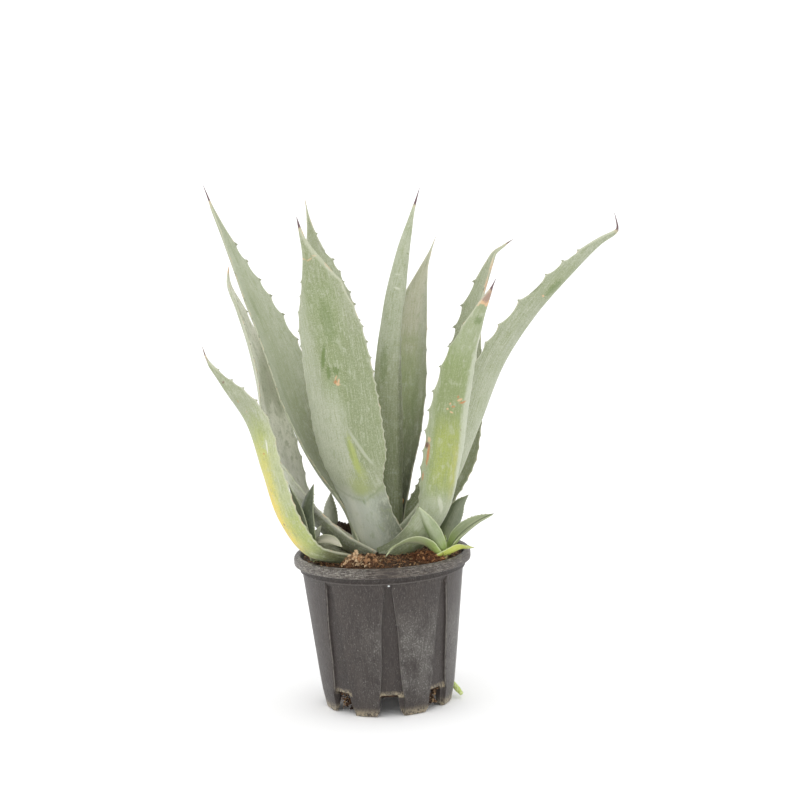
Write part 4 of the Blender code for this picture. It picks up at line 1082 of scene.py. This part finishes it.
def ramp(value, low, high):
    """A soft step from nothing at low to one at high."""
    share = np.clip((value - low) / (high - low), 0, 1)
    return share * share * (3 - 2 * share)


def slab(name, outline, reach):
    """A flat outline of (x, z) filled and pulled out along -Y."""
    bpy.ops.mesh.primitive_circle_add(vertices=len(outline), radius=1, fill_type="NGON")
    piece = new_piece(name)
    move_points(piece, np.array([(x, 0, z) for x, z in outline]) * MM)
    bpy.ops.object.mode_set(mode="EDIT")
    bpy.ops.mesh.select_all(action="SELECT")
    bpy.ops.mesh.extrude_region_move(TRANSFORM_OT_translate={"value": (0, -reach * MM, 0)})
    bpy.ops.object.mode_set(mode="OBJECT")
    close_seams(piece)
    return piece


def build_pot(finish):
    """The nursery pot: a turned wall pressed in along eight grooves, with a drain cut under each."""
    outer, inner = ([(foot + WALL_FLARE * k / 24, WALL_FOOT + WALL_RISE * k / 24) for k in range(25)]
                    for foot in (WALL_OUT, WALL_IN))
    profile = UNDERSIDE + outer + RIM + inner[::-1] + POT_FLOOR
    pot = turned("nursery_pot", profile, GROOVES * COLUMNS, FIRST_GROOVE)
    places = points_of(pot) / MM
    radius = np.hypot(places[:, 0], places[:, 1])
    turn = np.degrees(np.arctan2(places[:, 1], places[:, 0])) - FIRST_GROOVE
    middle = np.round(turn / PITCH) * PITCH
    column = np.abs(turn - middle) / (PITCH / COLUMNS)
    half = np.interp(places[:, 2], *GROOVE_HALF)
    side = (column - FLOOR_COLUMNS) / (SIDE_COLUMNS - FLOOR_COLUMNS)
    rib = (column - SIDE_COLUMNS) / (COLUMNS / 2 - SIDE_COLUMNS)
    warped = np.where(column <= FLOOR_COLUMNS, half * column / FLOOR_COLUMNS,
                      np.where(column <= SIDE_COLUMNS, half + SIDE_TURN * side,
                               half + SIDE_TURN + (PITCH / 2 - SIDE_TURN - half) * rib))
    turn = np.radians(middle + np.sign(turn - middle) * warped + FIRST_GROOVE)
    pressed = (GROOVE_DEPTH * (1 - ramp(column, FLOOR_COLUMNS - 0.4, SIDE_COLUMNS))
               * (1 - ramp(places[:, 2], 126, 129.5)) * (radius > 50))
    wave = 0.12 * np.sin(3 * turn + 0.4) + 0.08 * np.sin(7 * turn + places[:, 2] / 30)
    radius = np.where(radius > 50, radius - pressed + wave, radius)
    places[:, 0] = radius * np.cos(turn)
    places[:, 1] = radius * np.sin(turn)
    move_points(pot, places * MM)
    arch = [(-x, z) for x, z in HALF_ARCH] + HALF_ARCH[::-1]
    drains = []
    for k in range(GROOVES):
        drain = slab("drain", arch, 30)
        move_points(drain, points_of(drain) + np.array((0, -52.6 * MM, 0)))
        drain.data.transform(Matrix.Rotation(math.radians(PITCH * k + FIRST_DRAIN + 90), 4, "Z"))
        drains.append(drain)
    cutter = merge_into(drains[0], drains[1:])
    apply_modifier(pot, "BOOLEAN", operation="DIFFERENCE", object=cutter, solver="EXACT")
    bpy.data.objects.remove(cutter, do_unlink=True)
    pot.data.transform(Matrix.Translation(Vector(AXIS)))
    close_seams(pot, 0.00001)
    bpy.ops.object.shade_smooth_by_angle(angle=math.radians(28))
    dress(pot, finish)
    finish_piece(pot, "pot_plastic", "pot")


# ---------------------------------------------------------------- soil and loose pieces

def soil_height(x, y):
    """Height of the mix over the pot's floor plane, heaped a little to the middle and the front."""
    r = math.hypot(x, y)
    right = 1.2 + 1.8 * max(0.0, min(1.0, (x + 8) / 22))
    front = math.exp(-((r - 62) / 16) ** 2) * max(0.0, -y / max(r, 1)) * right
    uneven = noise.fractal(Vector((x / 16, y / 16, 3.1)), 0.6, 2.2, 4) * 2.2
    return 143.2 + 7.5 * (1 - (r / 77) ** 2) + front + uneven * min(1.0, (80 - r) / 8)


def build_soil(finish):
    """The root ball: straight sides inside the pot and a heaped, crumbly top."""
    rings = [(r, 140.0) for r in np.linspace(76.2, 0, 64)]
    profile = [(0, 18.6), (30, 18.6), (59.0, 18.6), (60.4, 30), (65.5, 75), (71.6, 128), (75.9, 136)] + rings
    soil = turned("potting_mix", profile, 200)
    places = points_of(soil) / MM
    for place in places:
        if place[2] > 139:
            place[2] = soil_height(place[0], place[1])
            crumb = noise.fractal(Vector(place) / 3.2, 0.7, 2.1, 3)
            place[2] += crumb * 0.9
    move_points(soil, places * MM + AXIS)
    close_seams(soil, 0.00001)
    bpy.ops.object.shade_smooth()
    dress(soil, finish)
    return soil


def model_crumb(name, seed):
    """A few-faced crumb about one unit across."""
    bpy.ops.mesh.primitive_ico_sphere_add(subdivisions=1, radius=0.5)
    crumb = new_piece(name)
    places = points_of(crumb)
    swell = [1 + 0.45 * noise.noise(Vector(place) * 3 + Vector((seed, 0, 0))) for place in places]
    places *= np.array(swell)[:, None]
    move_points(crumb, places * np.array((1.2, 0.9, 0.7)))
    add_attribute(crumb, "shade", np.zeros(len(places)))
    return crumb


def model_fibre(name, seed, bends=6):
    """A thin three-sided fibre about one unit long, drawn out bend by bend."""
    chance = random.Random(seed)
    upright = (0, math.pi / 2, 0)
    bpy.ops.mesh.primitive_circle_add(vertices=3, radius=0.024, fill_type="NGON", rotation=upright)
    fibre = new_piece(name)
    settle(fibre)
    bpy.ops.object.mode_set(mode="EDIT")
    bpy.ops.mesh.select_all(action="SELECT")
    lean = Vector((1, 0, 0))
    for bend in range(bends):
        lean += Vector((0, chance.uniform(-0.7, 0.7), chance.uniform(-0.5, 0.5)))
        lean.normalize()
        bpy.ops.mesh.extrude_region_move(TRANSFORM_OT_translate={"value": lean / bends})
    bpy.ops.object.mode_set(mode="OBJECT")
    close_seams(fibre, 0.0001)
    places = points_of(fibre)
    move_points(fibre, places - np.array((0.5, places[:, 1].mean(), places[:, 2].mean())))
    add_attribute(fibre, "shade", np.zeros(len(places)))
    return fibre


def strew(model, name, place, size, chance, shade, upright=0.35):
    """One copy of a loose piece, turned at random, with its own shade."""
    turn = (Matrix.Rotation(chance.uniform(0, math.tau), 4, "Z")
            @ Matrix.Rotation(chance.gauss(0, upright), 4, "Y")
            @ Matrix.Rotation(chance.uniform(0, math.tau), 4, "X"))
    size = size if isinstance(size, tuple) else (size, size, size)
    scale = Matrix.Diagonal((*(part * MM for part in size), 1))
    copy = twin(model, name, Matrix.Translation(Vector(place) * MM + Vector(AXIS)) @ turn @ scale)
    copy.data.attributes["shade"].data.foreach_set("value", [shade] * len(copy.data.vertices))
    return copy


def lump(name, centre, half, seed, level=4, rough=0.35, grain=4.0):
    """A rough body of the given half sizes, swollen and pitted by noise."""
    bpy.ops.mesh.primitive_ico_sphere_add(subdivisions=level, radius=1)
    body = new_piece(name)
    places = points_of(body)
    swell = []
    for place in places:
        at = Vector(place * half)
        swell.append(1 + rough * noise.fractal(at / (grain * 2) + Vector((seed, 0, 0)), 0.6, 2.1, 3)
                     + rough * 0.5 * noise.fractal(at / (grain * 0.6) + Vector((0, seed, 0)), 0.7, 2.1, 3))
    move_points(body, (places * np.array(swell)[:, None] * half + centre) * MM + AXIS)
    bpy.ops.object.shade_smooth()
    return body


def sleeve(name, path, sizes, segments=14, rings=26, uneven=0.05, seed=1.0):
    """A closed round body laid along a path, its two poles at the path's ends."""
    bpy.ops.mesh.primitive_uv_sphere_add(segments=segments, ring_count=rings, radius=1)
    body = new_piece(name)
    ball = points_of(body)
    ring = np.round(np.arccos(np.clip(ball[:, 2], -1, 1)) / math.pi * rings)
    around = np.arctan2(ball[:, 1], ball[:, 0])
    t = 1 - np.clip((ring - 1) / (rings - 2), 0, 1)
    line, _ = smooth_path(path, 101)
    way = np.gradient(line, axis=0)
    way /= np.linalg.norm(way, axis=1)[:, None]
    index = np.round(t * 100).astype(int)
    side = np.cross(way, (0.31, 0.95, 0.05))
    side /= np.linalg.norm(side, axis=1)[:, None]
    other = np.cross(way, side)
    stops = np.linspace(0, 1, len(sizes))
    width = np.interp(t, stops, sizes) * ((ring > 0) & (ring < rings))
    width *= 1 + uneven * np.sin(3 * around + seed) + uneven * np.sin(11 * t + 2 * around + seed)
    places = (line[index] + side[index] * (width * np.cos(around))[:, None]
              + other[index] * (width * np.sin(around))[:, None])
    move_points(body, places * MM + AXIS)
    close_seams(body, 0.000001)
    bpy.ops.object.shade_smooth()
    return body


def on_dome(chance, centre, half, low=0.0):
    """A place near the skin of a dome with the given half sizes, and its turn round the middle."""
    turn, up = chance.uniform(0, math.tau), chance.uniform(low, 1)
    reach = math.sqrt(1 - up * up * 0.9) * chance.uniform(0.85, 1.1)
    place = (centre[0] + half[0] * math.cos(turn) * reach, centre[1] + half[1] * math.sin(turn) * reach,
             centre[2] + half[2] * up)
    return place, turn


def build_clump(chance, crumbs, fibres):
    """A crumbling lump of coir: rough crumbs with dark gaps, loose fibres and one pale peeled flake."""
    clump = lump("coir_clump_body", (-20, -62, 147), (16, 8, 6), 4.0, 4, 0.45, 4.0)
    dress(clump, clod_finish("coir_clump_finish", (0.030, 0.015, 0.010), (0.150, 0.075, 0.038),
                             (0.300, 0.180, 0.095)))
    tan = loose("tan_coir", (0.075, 0.034, 0.018), (0.390, 0.215, 0.105), (0.740, 0.560, 0.350))
    pieces = []
    for k in range(330):
        (x, y, z), turn = on_dome(chance, (-20, -62, 148), (17, 8.5, 7.5), -0.1)
        place = (x, y, z + 2 * math.sin(turn * 3 + 1))
        if k % 5 < 2:
            pieces.append(strew(chance.choice(fibres), "fibre", place, chance.uniform(4, 10), chance,
                                chance.random(), 0.8))
        else:
            big = 1.9 if k % 5 == 2 else 1.0
            pieces.append(strew(chance.choice(crumbs), "crumb", place, big * chance.uniform(1.2, 2.6), chance,
                                chance.random() ** 0.8, 1.0))
    for k in range(60):
        up = chance.uniform(0, 1)
        place = (-23.5 + chance.gauss(0, 3.2 * (1.05 - up)), -66 + chance.gauss(0, 1.2), 149 + 13 * up)
        size = (chance.uniform(3, 6) * (1.3 - up), 1.2, chance.uniform(2, 5))
        pieces.append(strew(crumbs[k % 4], "flake", place, size, chance, chance.uniform(0.75, 1), 0.2))
    for piece in pieces:
        dress(piece, tan)
    merge_into(clump, pieces)
    finish_piece(clump, "coir_fibre", "coir_clump")


def strew_surface(chance, crumbs, fibres):
    """Crumbs and fibres over the mix, two in three of them towards the front."""
    coir = loose("coir_bits", (0.070, 0.036, 0.020), (0.300, 0.150, 0.070), (0.560, 0.370, 0.190))
    bits = []
    for k in range(900):
        front = k % 3
        angle = math.radians(chance.uniform(-165, -5)) if front else chance.uniform(0, math.tau)
        r = 76 * math.sqrt(chance.uniform(0.25 if front else 0, 1))
        if k % 2:
            size = chance.uniform(0.9, 2.6) * (1.5 if chance.random() < 0.08 else 1)
            x, y = r * math.cos(angle), r * math.sin(angle)
            bits.append(strew(chance.choice(crumbs), "crumb", (x, y, soil_height(x, y) + 0.2 * size), size,
                              chance, chance.random() ** 1.6, 1.0))
        else:
            long = chance.uniform(4, 11)
            r = min(r, 74 - long / 3)
            x, y = r * math.cos(angle), r * math.sin(angle)
            bits.append(strew(chance.choice(fibres), "fibre", (x, y, soil_height(x, y) + 0.8), long, chance,
                              chance.random() ** 0.8, 0.25))
    for bit in bits:
        dress(bit, coir)
    return bits


def fringe_drains(chance, crumbs, fibres):
    """Roots and crumbs that show in four of the drains."""
    shaded = loose("shaded_coir", (0.022, 0.012, 0.008), (0.130, 0.070, 0.036), (0.330, 0.220, 0.120))
    roots = []
    for angle in (-PITCH, PITCH, 3 * PITCH, 4 * PITCH):
        turn = math.radians(FIRST_DRAIN + angle)
        c, s = math.cos(turn), math.sin(turn)
        for k in range(60):
            side = chance.uniform(-6, 6)
            r, z = chance.uniform(53, 59.5), chance.uniform(5, 19)
            place = (r * c - side * s, r * s + side * c, z)
            if k % 2:
                roots.append(strew(chance.choice(crumbs), "crumb", place, chance.uniform(1.6, 4), chance,
                                   chance.random(), 1.0))
            else:
                roots.append(strew(chance.choice(fibres), "root", place, chance.uniform(4, 9), chance,
                                   chance.uniform(0.4, 1), 0.9))
    for root in roots:
        dress(root, shaded)
    return roots


def build_heap(chance, crumbs, fibres):
    """A reddish heap of coir on the right, with the strands on it."""
    heap = lump("coir_heap", (41, -50, 145), (17, 9, 8), 3.0, 4, 0.4, 5.0)
    dress(heap, clod_finish("red_clod", (0.030, 0.014, 0.009), (0.130, 0.055, 0.026), (0.300, 0.140, 0.062)))
    red = loose("red_coir", (0.060, 0.026, 0.014), (0.260, 0.105, 0.042), (0.520, 0.270, 0.120))
    strands = []
    for k in range(260):
        place, _ = on_dome(chance, (41, -50, 145), (18, 9, 9))
        model = chance.choice(fibres if k % 3 else crumbs)
        size = chance.uniform(5, 12) if k % 3 else chance.uniform(1.5, 3.5)
        strands.append(strew(model, "strand", place, size, chance, chance.random(), 0.5))
    for strand in strands:
        dress(strand, red)
    return [heap] + strands


def build_stems():
    """The short stem, the offsets' stems and the shoot that comes out of a drain."""
    pale = stem_tissue("stem_tissue", (0.36, 0.38, 0.24), (0.50, 0.52, 0.38))
    green = stem_tissue("young_stem_tissue", (0.36, 0.44, 0.16), (0.52, 0.58, 0.32))
    lime = stem_tissue("rhizome_skin", (0.44, 0.54, 0.14), (0.62, 0.70, 0.32))
    for name, slot, tint, sizes, path in (
            ("stem", "stem_tissue", pale, (11, 13, 13, 12), ((0, 0, 112), (0, -1, 135), (0, -2, 158))),
            ("offset_right_stem", "stem_tissue", green, (4, 4.5, 4.8, 4.2),
             ((56, -38, 128), (57, -39, 139), (58, -40, 150))),
            ("offset_left_stem", "stem_tissue", green, (4, 4.5, 4.8, 4.2),
             ((-58, -24, 128), (-60, -26, 139), (-62, -28, 150))),
            ("rhizome_tip", "young_leaf", lime, (2.6, 2.6, 2.7, 2.6, 2.0),
             ((57, 2, 18), (62, -1, 13.5), (67, -5, 8), (71, -8, 3.4)))):
        body = sleeve(name + "_body", path, sizes)
        dress(body, tint)
        finish_piece(body, slot, name)


def build_ground():
    """Soil with all that lies on it and hangs from it, and the loose pieces."""
    chance = random.Random(7)
    mix = soil_mix()
    crumbs = [model_crumb(f"crumb_{k}", 3 * k + 1) for k in range(4)]
    fibres = [model_fibre(f"fibre_{k}", k + 5) for k in range(6)]
    soil = build_soil(mix)
    loose_matter = []
    for make in (strew_surface, fringe_drains, build_heap):
        loose_matter += make(chance, crumbs, fibres)
    merge_into(soil, loose_matter)
    finish_piece(soil, "potting_soil", "root_ball")
    build_clump(chance, crumbs, fibres)
    clod = lump("peat_clod_body", (-37, 26, 158), (10, 8, 13), 9.0, 4, 0.35, 5.0)
    dress(clod, clod_finish("peat", (0.020, 0.013, 0.010), (0.055, 0.034, 0.024), (0.120, 0.072, 0.045)))
    finish_piece(clod, "coir_fibre", "peat_clod")
    chip = lump("bark_chip_body", (20, 18, 190), (5.3, 3.8, 3.6), 2.0, 3, 0.22, 5.0)
    dress(chip, clod_finish("bark", (0.260, 0.105, 0.035), (0.520, 0.240, 0.085), (0.660, 0.380, 0.180)))
    finish_piece(chip, "bark", "bark_chip")
    for model in crumbs + fibres:
        bpy.data.objects.remove(model, do_unlink=True)


# ---------------------------------------------------------------- light, floor and camera

FLOOR_TINT = (0.93, 0.93, 0.93)
ROOM_LIGHT = 1.32
LAMP_SPREAD = 80  # degrees: broad enough to leave no hard shadow
LENS, SENSOR = 85.79, 36
TIPPED, ROLLED = 7.61, -2.48  # degrees down from level, and round the line of sight
STAND = (0.02344, -1.8, 0.53242)  # metres from the pot's axis


def build_stage():
    """A pale floor that runs far out, a white surround and two broad soft lights."""
    pick_only()
    bpy.ops.mesh.primitive_plane_add(size=30, location=(0, 0, -0.0005))
    floor = new_piece("floor")
    settle(floor)
    pale = {"Base Color": (*FLOOR_TINT, 1), "Roughness": 0.9, "Specular IOR Level": 0.1}
    paint = Finish("pale_floor", pale)
    dress(floor, paint.material)
    world = bpy.data.worlds.new("white_room")
    world.use_nodes = True
    room = world.node_tree.nodes["Background"].inputs
    room["Color"].default_value = (1, 1, 1, 1)
    room["Strength"].default_value = ROOM_LIGHT
    bpy.context.scene.world = world
    for name, way, strength in (("key", (0.5, 0.65, -0.75), 0.20), ("fill", (-0.8, 0.6, -0.4), 0.06)):
        lamp = bpy.data.lights.new(name, "SUN")
        lamp.energy = strength
        lamp.angle = math.radians(LAMP_SPREAD)
        obj = bpy.data.objects.new(name, lamp)
        obj.rotation_euler = Vector(way).to_track_quat("-Z", "Y").to_euler()
        bpy.context.scene.collection.objects.link(obj)


def build_camera():
    """A long lens at the height of the leaf tips, tipped down and a little rolled."""
    data = bpy.data.cameras.new("camera")
    data.lens, data.sensor_width = LENS, SENSOR
    data.clip_end = 60
    camera = bpy.data.objects.new("camera", data)
    aim = Matrix.Rotation(math.radians(90 - TIPPED), 4, "X") @ Matrix.Rotation(math.radians(ROLLED), 4, "Z")
    camera.matrix_world = Matrix.Translation(Vector(AXIS) + Vector(STAND)) @ aim
    bpy.context.scene.collection.objects.link(camera)
    bpy.context.scene.camera = camera
    bpy.context.scene.view_settings.view_transform = "Standard"


# ---------------------------------------------------------------- assembly

build_stage()
build_camera()
hook = model_tooth()
hook_skin = tooth_skin()
build_big_leaves(hook, hook_skin)
build_young_leaves(hook, hook_skin)
build_pot(pot_plastic())
build_ground()
build_stems()
bpy.data.objects.remove(hook, do_unlink=True)
